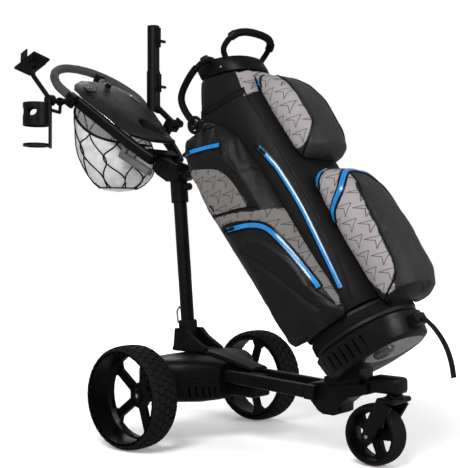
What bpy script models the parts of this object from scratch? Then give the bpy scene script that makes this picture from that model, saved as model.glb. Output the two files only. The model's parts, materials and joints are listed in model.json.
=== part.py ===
"""Three-wheel electric golf trolley carrying a cart bag.

Metres, +X the way the trolley travels, +Y its left side, +Z up. The driving dimensions are
measured from the middle of the rear axle; the finished model is then moved so that the frame's
origin is the middle of the base of its bounding box.
"""

import math

import bmesh
import bpy
from mathutils import Matrix, Vector

GAP = 0.0004  # clearance between pieces that touch
RUN = 0.0006  # clearance between pieces that turn or slide in each other

# Rear wheels
WHEEL_R = 0.145
WHEEL_W = 0.089
HALF_TRACK = 0.2825
RIM_R = 0.1290
HUB_R = 0.024
SPOKES = 5
AXLE_R = 0.0065

# Caster
SWIVEL_X = 0.676
CASTER_R = 0.0804
CASTER_W = 0.062
TRAIL = 0.058
CASTER_X = SWIVEL_X - TRAIL
FORK_INNER = 0.037
FORK_OUTER = 0.0475
CROWN_Z = 0.1680

# Chassis
CASING_TOP = 0.2480
CASING_BOTTOM = 0.1130
CASING_SPLIT = 0.1750
WALL = 0.004
RAIL_Y = 0.052
RAIL_W = 0.022
RAIL_H = 0.036
RAIL_START = (0.1515, 0.1935)
RAIL_END = (0.4340, 0.1790)

# Stem, leaning back from its fold pin
FOLD_X, FOLD_Z = -0.044, 0.285
LEAN = math.radians(5.1)
STEM_R = 0.0205
STEM_TOP = 0.4830
COLLAR_START = 0.4180

# Handle, sloping up and back; the plane of its side bars passes above its hinge
HINGE_X, HINGE_Z = -0.138, 0.811
BARS_Z = 0.830
SLOPE = math.radians(38.5)
BAR_T = 0.017  # half height of a side bar
BAR_W = 0.012  # half width of a side bar
GRIP_R = 0.0145
LOOP = [
    (0.000, 0.0585), (0.020, 0.070), (0.045, 0.080), (0.100, 0.099), (0.190, 0.122), (0.245, 0.137),
    (0.300, 0.153), (0.345, 0.168),
]
CROWN = [
    (0.345, 0.168), (0.40, 0.177), (0.45, 0.162), (0.49, 0.136), (0.522, 0.100), (0.545, 0.052), (0.552, 0.0),
]

# Umbrella holder
UMB_X, UMB_Y = -0.3440, 0.1450
UMB_FOOT = 0.996
UMB_SEAM = 1.160
UMB_TOP = 1.315
UMB_LEAN = math.radians(0.6)
UMB_H = 0.180

# Accessory arm on the right side bar
MOUNT_H = 0.3185
PHONE_PIVOT = (-0.386, -0.262, 1.018)
CRADLE = (-0.479, -0.262, 1.1430)
CUP = (-0.384, -0.3170, 0.969)
CUP_R = 0.041

# Bag, leaning back from its base
BAG_X, BAG_Z = 0.598, 0.330
TILT = math.radians(33.5)
BASE_R = 0.140
BAG_TOP = 0.905
MOUTH_N = 0.035
RIM_SLOPE = -0.5

BLACK = (0.018, 0.018, 0.020)
COLOURS = {
    "frame_black": ((0.020, 0.020, 0.022), 0.42, 0.3),
    "casing_black": (BLACK, 0.50, 0.0),
    "tyre_black": ((0.022, 0.021, 0.023), 0.85, 0.0),
    "rim_black": ((0.016, 0.016, 0.018), 0.40, 0.0),
    "steel": ((0.62, 0.62, 0.63), 0.28, 1.0),
    "foam_black": ((0.030, 0.030, 0.031), 0.90, 0.0),
    "console_grey": ((0.070, 0.070, 0.072), 0.55, 0.0),
    "pad_grey": ((0.30, 0.30, 0.31), 0.60, 0.0),
    "net_grey": ((0.48, 0.48, 0.48), 0.90, 0.0),
    "fabric_black": ((0.020, 0.020, 0.021), 0.75, 0.0),
    "fabric_charcoal": ((0.050, 0.050, 0.052), 0.70, 0.0),
    "fabric_grey": ((0.290, 0.265, 0.255), 0.80, 0.0),
    "smoke_plate": ((0.16, 0.16, 0.165), 0.20, 0.0),
    "battery_shell": ((0.030, 0.030, 0.034), 0.50, 0.0),
    "board_green": ((0.02, 0.10, 0.04), 0.50, 0.0),
}

for old in list(bpy.data.objects):
    bpy.data.objects.remove(old)

model = bpy.data.collections.new("golf_trolley")
helpers = bpy.data.collections.new("cutters")
for group in (model, helpers):
    bpy.context.scene.collection.children.link(group)
helpers.hide_render = True

finishes = {}
for finish_name, (colour, roughness, metallic) in COLOURS.items():
    finish = bpy.data.materials.new(finish_name)
    finish.use_nodes = True
    shader = finish.node_tree.nodes["Principled BSDF"]
    shader.inputs["Base Color"].default_value = (*colour, 1)
    shader.inputs["Roughness"].default_value = roughness
    shader.inputs["Metallic"].default_value = metallic
    finishes[finish_name] = finish


# ---------------------------------------------------------------- frames of reference


def stem_point(along, forward=0.0, side=0.0):
    """A point on the stem: along it from the fold pin, forward of it, and to its left."""
    return Vector((
        FOLD_X - along * math.sin(LEAN) + forward * math.cos(LEAN),
        side,
        FOLD_Z + along * math.cos(LEAN) + forward * math.sin(LEAN),
    ))


def handle_point(along, side=0.0, above=0.0):
    """A point on the handle: along its slope from above the hinge, to its left, and above its plane."""
    return Vector((
        HINGE_X - along * math.cos(SLOPE) + above * math.sin(SLOPE),
        side,
        BARS_Z + along * math.sin(SLOPE) + above * math.cos(SLOPE),
    ))


def bag_point(up, front=0.0, side=0.0):
    """A point on the bag: up its axis from the base, towards its front, and to its left."""
    return Vector((
        BAG_X - up * math.sin(TILT) + front * math.cos(TILT),
        side,
        BAG_Z + up * math.cos(TILT) + front * math.sin(TILT),
    ))


STEM_TURN = Matrix.Rotation(-LEAN, 4, "Y")
HANDLE_TURN = Matrix.Rotation(SLOPE, 4, "Y")
BAG_TURN = Matrix.Rotation(-TILT, 4, "Y")


# ---------------------------------------------------------------- modelling tools


def add(name, mesh, finish_name, matrix=None):
    piece = bpy.data.objects.new(name, mesh)
    if finish_name:
        mesh.materials.append(finishes[finish_name])
        model.objects.link(piece)
    else:
        helpers.objects.link(piece)
        piece.hide_render = True
        piece.display_type = "WIRE"
    if matrix is not None:
        piece.matrix_world = matrix
    return piece


def mesh_from(build):
    """A mesh made with bmesh operators, with its faces turned outwards."""
    made = bmesh.new()
    build(made)
    bmesh.ops.recalc_face_normals(made, faces=made.faces)
    mesh = bpy.data.meshes.new("shape")
    made.to_mesh(mesh)
    made.free()
    return mesh


def block(name, size, centre, finish_name, turn=None, round_by=0.0, steps=1):
    """A box of this size, turned about its centre, with its edges rounded."""

    def build(made):
        bmesh.ops.create_cube(made, size=1.0)
        bmesh.ops.scale(made, vec=Vector(size), verts=made.verts)

    matrix = Matrix.Translation(centre) @ (turn or Matrix())
    piece = add(name, mesh_from(build), finish_name, matrix)
    if round_by:
        bevel = piece.modifiers.new("edges", "BEVEL")
        bevel.width = round_by
        bevel.segments = steps
    return piece


def rod(name, radius, start, end, finish_name, sides=20, end_radius=None, round_by=0.0):
    """A round bar, or a cone, between two points."""
    start, end = Vector(start), Vector(end)
    length = (end - start).length

    def build(made):
        bmesh.ops.create_cone(
            made, cap_ends=True, segments=sides, radius1=radius,
            radius2=radius if end_radius is None else end_radius, depth=length,
        )

    turn = (end - start).to_track_quat("Z", "Y").to_matrix().to_4x4()
    piece = add(name, mesh_from(build), finish_name, Matrix.Translation((start + end) / 2) @ turn)
    if round_by:
        bevel = piece.modifiers.new("edges", "BEVEL")
        bevel.width = round_by
        bevel.segments = 1
        bevel.angle_limit = math.radians(60)
    return piece


def turned(name, profile, finish_name, matrix, sides=32):
    """A closed profile of (radius, height), down its outer side first, turned round Z."""
    mesh = bpy.data.meshes.new(name)
    count = len(profile)
    mesh.from_pydata([(r, 0, z) for r, z in profile], [(i, (i + 1) % count) for i in range(count)], [])
    piece = add(name, mesh, finish_name, matrix)
    screw = piece.modifiers.new("turn", "SCREW")
    screw.steps = screw.render_steps = sides
    screw.use_merge_vertices = True
    screw.merge_threshold = 0.00005
    return piece


def loft(name, rings, finish_name, matrix=None):
    """A skin over rings of points, closed at both ends."""

    def build(made):
        rows = [[made.verts.new(point) for point in ring] for ring in rings]
        count = len(rows[0])
        for low, high in zip(rows, rows[1:]):
            for i in range(count):
                j = (i + 1) % count
                made.faces.new((low[i], low[j], high[j], high[i]))
        made.faces.new(rows[0][::-1])
        made.faces.new(rows[-1])
        bmesh.ops.triangulate(made, faces=made.faces)

    return add(name, mesh_from(build), finish_name, matrix)


def plate(name, outline, thickness, finish_name, matrix):
    """A flat outline in local X and Y, made a plate centred on its plane."""
    curve = bpy.data.curves.new(name, "CURVE")
    curve.dimensions = "2D"
    curve.fill_mode = "BOTH"
    curve.extrude = thickness / 2
    line = curve.splines.new("POLY")
    line.points.add(len(outline) - 1)
    for point, (x, y) in zip(line.points, outline):
        point.co = (x, y, 0, 1)
    line.use_cyclic_u = True
    return as_mesh(add(name, curve, finish_name, matrix))


def smooth_path(points, steps=4):
    """Points along a smooth curve through the points given."""
    points = [Vector(point) for point in points]
    ends = [2 * points[0] - points[1], *points, 2 * points[-1] - points[-2]]
    path = []
    for a, b, c, d in zip(ends, ends[1:], ends[2:], ends[3:]):
        for i in range(steps):
            t = i / steps
            path.append(0.5 * (
                2 * b + (c - a) * t + (2 * a - 5 * b + 4 * c - d) * t * t + (3 * b - a - 3 * c + d) * t ** 3
            ))
    return [*path, points[-1]]


def pipe(name, path, radius, finish_name, resolution=2, closed=False):
    """A tube or bar of round section along a path."""
    curve = bpy.data.curves.new(name, "CURVE")
    curve.dimensions = "3D"
    curve.bevel_depth = radius
    curve.bevel_resolution = resolution
    curve.use_fill_caps = not closed
    line = curve.splines.new("POLY")
    line.points.add(len(path) - 1)
    for point, place in zip(line.points, path):
        point.co = (*place, 1)
    line.use_cyclic_u = closed
    return as_mesh(add(name, curve, finish_name))


def as_mesh(piece):
    """A curve made a mesh with welded caps, so that it can be cut and joined."""
    bpy.context.view_layer.update()
    graph = bpy.context.evaluated_depsgraph_get()
    mesh = bpy.data.meshes.new_from_object(piece.evaluated_get(graph))
    made = bmesh.new()
    made.from_mesh(mesh)
    bmesh.ops.remove_doubles(made, verts=made.verts, dist=0.00001)
    bmesh.ops.recalc_face_normals(made, faces=made.faces)
    made.to_mesh(mesh)
    made.free()
    name, matrix = piece.name, piece.matrix_world.copy()
    home = piece.users_collection[0]
    bpy.data.objects.remove(piece)
    solid = bpy.data.objects.new(name, mesh)
    home.objects.link(solid)
    solid.matrix_world = matrix
    if home == helpers:
        solid.hide_render = True
        solid.display_type = "WIRE"
    return solid


def combine(piece, operation, tools):
    """Cut the tools from a piece, or join them to it."""
    for tool in tools:
        step = piece.modifiers.new(operation.lower(), "BOOLEAN")
        step.operation = operation
        step.object = tool
    return piece


def cut(piece, *tools):
    return combine(piece, "DIFFERENCE", tools)


def join(piece, *tools):
    return combine(piece, "UNION", tools)


def oval(half_a, half_b, power, count, start=0.0):
    """Points round a superellipse of these half axes."""
    points = []
    for i in range(count):
        angle = start + 2 * math.pi * i / count
        c, s = math.cos(angle), math.sin(angle)
        points.append((
            half_a * math.copysign(abs(c) ** (2 / power), c),
            half_b * math.copysign(abs(s) ** (2 / power), s),
        ))
    return points


# ---------------------------------------------------------------- bodies

anchors = {}


def body(name, place, parent=None):
    """An empty on a moving body's axis; its pieces and the bodies it carries are parented to it."""
    anchor = bpy.data.objects.new(name + "_axis", None)
    model.objects.link(anchor)
    if parent:
        anchor.parent = anchors[parent]
        anchor.matrix_parent_inverse = anchors[parent].matrix_world.inverted()
    anchor.matrix_world = Matrix.Translation(place)
    bpy.context.view_layer.update()
    anchors[name] = anchor


def carry(body_name, *pieces):
    """Parent pieces to a body without moving them."""
    bpy.context.view_layer.update()
    for piece in pieces:
        place = piece.matrix_world.copy()
        piece.parent = anchors[body_name]
        piece.matrix_parent_inverse = anchors[body_name].matrix_world.inverted()
        piece.matrix_world = place


# ---------------------------------------------------------------- rear wheels and drive


def window_outline(centre, inner, outer):
    """One opening between two spokes: straight along the spokes, round at the rim."""
    half = math.pi / SPOKES
    spoke_half_width = 0.0125
    flare = math.radians(5)
    sides = [(r, half - math.asin(spoke_half_width / r)) for r in (inner, (inner + outer) / 2, 0.86 * outer)]
    rim_angle = sides[-1][1] - flare
    left = sides + [(outer, rim_angle)]
    arc = [(outer, rim_angle * (1 - i / 2)) for i in (1, 2, 3)]
    right = [(r, -angle) for r, angle in reversed(left)]
    return [(r * math.cos(centre + a), r * math.sin(centre + a)) for r, a in left + arc + right]


def rear_wheel(side):
    """Tyre, dished rim with its hub cap, and drive shaft of one rear wheel; side is +1 on the left."""
    label = "left" if side > 0 else "right"
    half = WHEEL_W / 2
    place = Matrix.Translation((0, side * HALF_TRACK, WHEEL_R)) @ Matrix.Rotation(-side * math.pi / 2, 4, "X")
    web = -0.0425
    rim = turned("rear_rim_" + label, [
        (RIM_R, 0.0425), (RIM_R, web), (0.118, web), (0.034, web), (AXLE_R + GAP, web),
        (AXLE_R + GAP, -0.0180), (0.0095, -0.0170), (0.0180, -0.0180), (0.0200, -0.0260), (HUB_R, -0.0270),
        (0.030, -0.0300), (0.112, -0.0310), (0.1220, -0.0220), (0.1235, 0.0425),
    ], "rim_black", place, sides=40)
    for i in range(SPOKES):
        centre = math.pi + 2 * math.pi * i / SPOKES
        outline = window_outline(centre, 0.037, 0.1165)
        cut(rim, plate(f"window_{label}_{i}", outline, 0.060, None, place @ Matrix.Translation((0, 0, -0.036))))
    tyre = turned("rear_tyre_" + label, [
        (0.1385, half), (0.1425, 0.037), (WHEEL_R, 0.014), (WHEEL_R, -0.014), (0.1425, -0.037),
        (0.1385, -half), (RIM_R + GAP, -half), (RIM_R + GAP, half),
    ], "tyre_black", place, sides=48)
    shaft = rod("drive_shaft_" + label, AXLE_R, (0, side * 0.2048, WHEEL_R), (0, side * 0.2620, WHEEL_R), "steel", 14)
    body("wheel_" + label, (0, side * HALF_TRACK, WHEEL_R), "chassis")
    carry("wheel_" + label, rim, tyre, shaft)
    motor = rod("drive_motor_" + label, 0.0205, (0, side * 0.085, WHEEL_R), (0, side * 0.2040, WHEEL_R), "casing_black", 20)
    carry("chassis", motor)


# ---------------------------------------------------------------- rear casing

# Station along X: half width, bottom and top of the casing there
CASING = [
    (-0.088, 0.160, 0.152, 0.214), (-0.074, 0.182, 0.128, 0.236), (-0.045, 0.192, 0.116, 0.2440),
    (0.000, 0.194, CASING_BOTTOM, CASING_TOP), (0.050, 0.184, CASING_BOTTOM, CASING_TOP),
    (0.090, 0.150, 0.115, 0.2430), (0.120, 0.110, 0.120, 0.2370), (0.150, 0.080, 0.128, 0.2300),
]


def casing_rings(inset):
    rings = []
    for i, (x, half, low, high) in enumerate(CASING):
        x += inset if i == 0 else -inset if i == len(CASING) - 1 else 0
        across = oval(half - inset, (high - low) / 2 - inset, 5.0, 28, math.pi / 28)
        rings.append([(x, y, (high + low) / 2 + z) for y, z in across])
    return rings


def rear_casing():
    """Two shells, parted on a level line, round the battery, the controller and both motors."""
    pieces = []
    for label, above in (("top", True), ("bottom", False)):
        shell = loft("rear_casing_" + label, casing_rings(0), "casing_black")
        hollow = loft(f"hollow_{label}", casing_rings(WALL), None)
        waste_z = CASING_SPLIT - 0.1 if above else CASING_SPLIT + 0.1 - GAP
        waste = block(f"waste_{label}", (0.4, 0.6, 0.2), (0.03, 0, waste_z), None)
        cut(shell, hollow, waste)
        if not above:
            for side in (-1, 1):
                cut(shell, rod(f"motor_hole_{side}", 0.0212, (0, side * 0.16, WHEEL_R), (0, side * 0.22, WHEEL_R), None, 20))
            for i in range(5):
                slot = (0.004, 0.3, 0.030)
                cut(shell, block(f"cooling_slot_{i}", slot, (0.093 + 0.012 * i, 0, 0.150), None))
        pieces.append(shell)
    battery = block("battery_pack", (0.100, 0.150, 0.086), (0.086, 0, 0.1765), "battery_shell", round_by=0.006)
    board = block("motor_controller", (0.030, 0.110, 0.050), (-0.052, 0, 0.176), "board_green")
    carry("chassis", *pieces, battery, board)


# ---------------------------------------------------------------- chassis


def sloped(start, end):
    """Turn that lays local X along a line in the X-Z plane."""
    return Matrix.Rotation(-math.atan2(end[1] - start[1], end[0] - start[0]), 4, "Y")


def chassis():
    run = Vector((RAIL_END[0] - RAIL_START[0], 0, RAIL_END[1] - RAIL_START[1]))
    turn = sloped(RAIL_START, RAIL_END)
    for label, y in (("left", RAIL_Y), ("right", -RAIL_Y)):
        middle = (RAIL_START[0] + run.x / 2, y, RAIL_START[1] + run.z / 2)
        rail = block("frame_rail_" + label, (run.length, RAIL_W, RAIL_H), middle, "frame_black", turn, 0.004)
        carry("chassis", rail)
    bay = block("rail_bay", (0.090, 0.0812, 0.062), (0.1970, 0, 0.1660), "casing_black", round_by=0.005)
    for i in range(5):
        for side in (-1, 1):
            cut(bay, block(f"bay_rib_{i}_{side}", (0.005, 0.008, 0.040), (0.165 + 0.015 * i, side * 0.0406, 0.160), None))
    saddle = loft("saddle_cover", [
        [(x, y * half, low + (high - low) * z) for y, z in ((-1, 0), (1, 0), (0.92, 0.7), (0.6, 1), (-0.6, 1), (-0.92, 0.7))]
        for x, half, low, high in (
            (0.0500, 0.040, 0.2484, 0.2610), (0.100, 0.038, 0.2434, 0.2540),
            (0.150, 0.036, 0.2308, 0.2430), (0.235, 0.034, 0.2120, 0.2210),
        )
    ], None)
    foot = block("stem_foot", (0.128, 0.096, 0.0135), (-0.006, 0, 0.2553), "casing_black", round_by=0.003)
    cheek_outline = [
        (-0.070, 0.2555), (0.0570, 0.2555), (0.0570, 0.2640), (0.004, 0.2930), (-0.022, 0.3160), (-0.064, 0.3160),
    ]
    for side in (-1, 1):
        upright = Matrix.Translation((0, side * 0.0330, 0)) @ Matrix.Rotation(math.pi / 2, 4, "X")
        join(foot, plate(f"cheek_{side}", cheek_outline, 0.0180, None, upright))
    join(foot, saddle, rod("fold_pin", 0.0060, (FOLD_X, -0.0430, FOLD_Z), (FOLD_X, 0.0430, FOLD_Z), None, 14))
    carry("chassis", bay, foot)


def front_end():
    """The gooseneck that joins both rails, dips, and rises to the caster head."""
    neck_outline = [
        (0.4350, 0.1990), (0.4350, 0.1560), (0.462, 0.1280), (0.478, 0.1205), (0.512, 0.1200), (0.5270, 0.1270),
        (0.5280, 0.1480), (0.560, 0.1730), (0.6140, 0.1860), (0.6140, 0.2120), (0.560, 0.2080), (0.505, 0.1960),
        (0.480, 0.2050),
    ]
    upright = Matrix.Rotation(math.pi / 2, 4, "X")
    neck = plate("front_neck", neck_outline, 0.074, "frame_black", upright)
    shoulder = block("neck_shoulder", (0.030, 0.126, 0.038), (0.4500, 0, 0.1780), None, sloped(RAIL_START, RAIL_END))
    join(neck, shoulder)
    join(neck, block("caster_head", (0.0890, 0.062, 0.0420), (0.6545, 0, 0.2120), None, round_by=0.010, steps=2))
    cut(neck, rod("king_hole", 0.0092, (SWIVEL_X, 0, 0.1700), (SWIVEL_X, 0, 0.2240), None, 16))
    carry("chassis", neck)


def caster():
    """Fork with its king pin, which swivels under the head, and the small wheel in it."""
    crown = block("caster_fork", (0.052, 2 * FORK_OUTER, 0.0140), (SWIVEL_X - 0.004, 0, CROWN_Z + 0.0070), "frame_black",
                  round_by=0.004)
    axle_z = CASTER_R
    leg_top = Vector((SWIVEL_X - 0.006, 0, CROWN_Z + 0.004))
    leg_end = Vector((CASTER_X, 0, axle_z))
    along = (leg_end - leg_top).normalized()
    across = Vector((-along.z, 0, along.x))
    for side in (-1, 1):
        y0, y1 = sorted((side * FORK_INNER, side * FORK_OUTER))
        stations = ((0.0, 0.022), (0.45, 0.0205), (0.85, 0.0165), (1.02, 0.0125))
        rings = []
        for t, half in stations:
            middle = leg_top.lerp(leg_end, t)
            rings.append([middle + across * (c * half) + Vector((0, y, 0)) for c, y in ((-1, y0), (1, y0), (1, y1), (-1, y1))])
        join(crown, loft(f"fork_leg_{side}", rings, None))
        join(crown, rod(f"fork_eye_{side}", 0.0150, (CASTER_X, y0, axle_z), (CASTER_X, y1, axle_z), None, 18))
    join(crown, rod("king_pin", 0.0086, (SWIVEL_X, 0, CROWN_Z + 0.010), (SWIVEL_X, 0, 0.2225), None, 16))
    cut(crown, rod("axle_hole", 0.0052, (CASTER_X, -0.06, axle_z), (CASTER_X, 0.06, axle_z), None, 14))
    axle = rod("caster_axle", 0.0048, (CASTER_X, -FORK_OUTER, axle_z), (CASTER_X, FORK_OUTER, axle_z), "steel", 12)
    body("caster_fork", (SWIVEL_X, 0, CROWN_Z), "chassis")
    carry("caster_fork", crown, axle)

    half = CASTER_W / 2
    place = Matrix.Translation((CASTER_X, 0, axle_z)) @ Matrix.Rotation(-math.pi / 2, 4, "X")
    rim = turned("caster_rim", [
        (0.0676, half - 0.001), (0.0676, 0.001 - half), (0.0630, 0.001 - half), (0.0600, -0.0060), (0.0160, -0.0090),
        (0.0140, -0.0350), (0.0053, -0.0350), (0.0053, 0.0350), (0.0140, 0.0350), (0.0160, 0.0090), (0.0600, 0.0060),
        (0.0630, half - 0.001),
    ], "rim_black", place, sides=28)
    for i in range(SPOKES):
        outline = window_outline(0.6 + 2 * math.pi * i / SPOKES, 0.0230, 0.0570)
        cut(rim, plate(f"caster_window_{i}", outline, 0.060, None, place))
    tyre = turned("caster_tyre", [
        (0.0770, half), (CASTER_R, 0.022), (CASTER_R, -0.022), (0.0770, -half), (0.0680, -half), (0.0680, half),
    ], "tyre_black", place, sides=36)
    body("caster_wheel", (CASTER_X, 0, axle_z), "caster_fork")
    carry("caster_wheel", rim, tyre)


# ---------------------------------------------------------------- bag support


def bag_support():
    """Drum-shaped lower bracket square to the bag's axis, and the cradle behind the bag's top."""
    count = 32
    drum_rings = []
    for up, radius in ((-0.0640, 0.120), (-0.0560, 0.134), (-0.0120, 0.141), (-GAP - 0.0006, 0.143)):
        drum_rings.append([bag_point(up, a, b) for a, b in oval(radius, radius, 2.4, count)])
    tray = loft("bag_tray", drum_rings, "frame_black")
    pocket = [[bag_point(up, 0.050 + a, b) for a, b in oval(0.068, 0.100, 2.4, count)] for up in (-0.0800, -0.0480)]
    cut(tray, loft("tray_underside", pocket, None))
    for i in range(7):
        side = -0.15
        cut(tray, block(f"tray_rib_{i}", (0.006, 0.05, 0.040), bag_point(-0.034, -0.075 + 0.022 * i, side), None, BAG_TURN))
    plate_rings = [[bag_point(up, 0.050 + a, b) for a, b in oval(0.067, 0.099, 2.4, count)] for up in (-0.0640, -0.0484)]
    skid = loft("tray_window", plate_rings, "smoke_plate")
    dome = turned("tray_dome", [
        (0.030, 0.0), (0.030, -0.004), (0.022, -0.012), (0.008, -0.015), (0.0005, -0.015), (0.0005, 0.0),
    ], None, Matrix.Translation(bag_point(-0.0635, 0.045, -0.045)) @ BAG_TURN, sides=24)
    join(skid, dome)
    join(tray, block("tray_hook", (0.030, 0.050, 0.030), bag_point(-0.034, 0.1480, 0), None, BAG_TURN, 0.004))
    # Struts that carry the tray on the neck
    strut = loft("tray_strut", [
        [(x, y, z) for x, z in ((0.4800, 0.2060), (0.5050, 0.1970), (0.5600, 0.2090), (0.5900, 0.2115),
                                (0.5900, 0.2600), (0.5350, 0.2400), (0.4800, 0.2200))]
        for y in (-0.034, 0.034)
    ], None)
    join(tray, strut)
    carry("chassis", tray, skid)


# ---------------------------------------------------------------- stem


def stem():
    body("stem", (FOLD_X, 0, FOLD_Z), "chassis")
    sleeve = block("stem_sleeve", (0.044, 0.0460, 0.052), stem_point(0.030), "frame_black", STEM_TURN, 0.005)
    join(sleeve, rod("sleeve_eye", 0.0215, (FOLD_X, -0.0230, FOLD_Z), (FOLD_X, 0.0230, FOLD_Z), None, 24))
    cut(sleeve, rod("sleeve_pin_hole", 0.0065, (FOLD_X, -0.06, FOLD_Z), (FOLD_X, 0.06, FOLD_Z), None, 16))
    tube = rod("stem_tube", STEM_R, stem_point(0.0564), stem_point(STEM_TOP), "frame_black", 28)
    yoke = block("hinge_yoke", (0.058, 0.066, 0.022), stem_point(STEM_TOP + 0.0125), "frame_black", STEM_TURN, 0.004)
    ear_outline = [
        (HINGE_X - 0.012, HINGE_Z - 0.022), (HINGE_X + 0.030, HINGE_Z - 0.046), (-0.062, HINGE_Z - 0.040),
        (-0.064, HINGE_Z + 0.004), (HINGE_X + 0.020, HINGE_Z + 0.022), (HINGE_X - 0.010, HINGE_Z + 0.024),
        (HINGE_X - 0.024, HINGE_Z + 0.010), (HINGE_X - 0.025, HINGE_Z - 0.010),
    ]
    for side in (-1, 1):
        upright = Matrix.Translation((0, side * 0.0285, 0)) @ Matrix.Rotation(math.pi / 2, 4, "X")
        join(yoke, plate(f"ear_{side}", ear_outline, 0.0110, None, upright))
    join(yoke, rod("stem_collar", 0.0268, stem_point(COLLAR_START), stem_point(STEM_TOP + 0.010), None, 24))
    cut(yoke, rod("collar_bore", STEM_R + GAP, stem_point(COLLAR_START - 0.02), stem_point(STEM_TOP + GAP), None, 28))
    join(yoke, rod("handle_pin", 0.0050, (HINGE_X, -0.0380, HINGE_Z), (HINGE_X, 0.0380, HINGE_Z), None, 12))
    carry("stem", sleeve, tube, yoke)

    # Cradle for the back of the bag, on an arm out of the front of the stem's head
    cradle = block("bag_cradle", (0.040, 0.150, 0.056), bag_point(0.655, -0.1600), "frame_black", BAG_TURN, 0.006)
    join(cradle, block("cradle_arm", (0.1465, 0.036, 0.022), (0.0158, 0, 0.7830), None))
    cut(cradle, loft("cradle_seat", bag_body_rings(0.0015), None))
    carry("stem", cradle)

    lever_at = stem_point(0.048, -0.0265)
    lever_path = [stem_point(*p) for p in (
        (0.050, -0.0290, -0.013), (0.084, -0.0300, -0.013), (0.096, -0.0330, 0.0), (0.084, -0.0300, 0.013),
        (0.050, -0.0290, 0.013), (0.044, -0.0290, 0.0),
    )]
    lever = pipe("latch_lever", lever_path, 0.0032, "steel", closed=True)
    body("lever", lever_at, "stem")
    carry("lever", lever)

    knob_start, knob_end = stem_point(0.462, 0.0272), stem_point(0.462, 0.0480)
    knob = rod("stem_knob", 0.0115, knob_start, knob_end, "frame_black", 12, round_by=0.002)
    body("stem_knob", knob_start, "stem")
    carry("stem_knob", knob)


# ---------------------------------------------------------------- handle and console


def bar_rings(side, line, half_w, half_t):
    rings = []
    for h, y in line:
        rings.append([
            handle_point(h, side * (y + dy * half_w), dz * half_t)
            for dy, dz in ((-1, -0.7), (-0.6, -1), (0.6, -1), (1, -0.7), (1, 0.7), (0.6, 1), (-0.6, 1), (-1, 0.7))
        ])
    return rings


# Station along the handle: half width, height of the ridge, of the edge and of the underside
CONSOLE = [
    (0.020, 0.014, 0.070, 0.063, 0.056), (0.066, 0.054, 0.060, 0.036, 0.026), (0.114, 0.098, 0.049, 0.0212, 0.006),
    (0.173, 0.114, 0.042, 0.0208, -0.002), (0.235, 0.133, 0.037, 0.0208, -0.006), (0.299, 0.151, 0.034, 0.0208, -0.010),
    (0.350, 0.158, 0.031, 0.0208, -0.010), (0.390, 0.130, 0.028, 0.0208, -0.008), (0.430, 0.075, 0.024, 0.0190, 0.000),
]
OPENING_H, OPENING_L, OPENING_W = 0.122, 0.057, 0.037


def console_rings(part):
    rings = []
    for h, half, ridge, edge, under in CONSOLE:
        rise = ridge - edge
        if part == "cover":
            section = [(-1, edge), (-0.94, edge + 0.20 * rise), (-0.46, edge + 0.86 * rise), (0, ridge),
                       (0.46, edge + 0.86 * rise), (0.94, edge + 0.20 * rise), (1, edge),
                       (0.92, edge - 0.0030), (-0.92, edge - 0.0030)]
        else:
            top = edge - 0.0030 - GAP
            section = [(-0.88, top), (0.88, top), (0.80, (top + under) / 2), (0.5, under), (-0.5, under), (-0.80, (top + under) / 2)]
        rings.append([handle_point(h, y * half, z) for y, z in section])
    return rings


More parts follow.
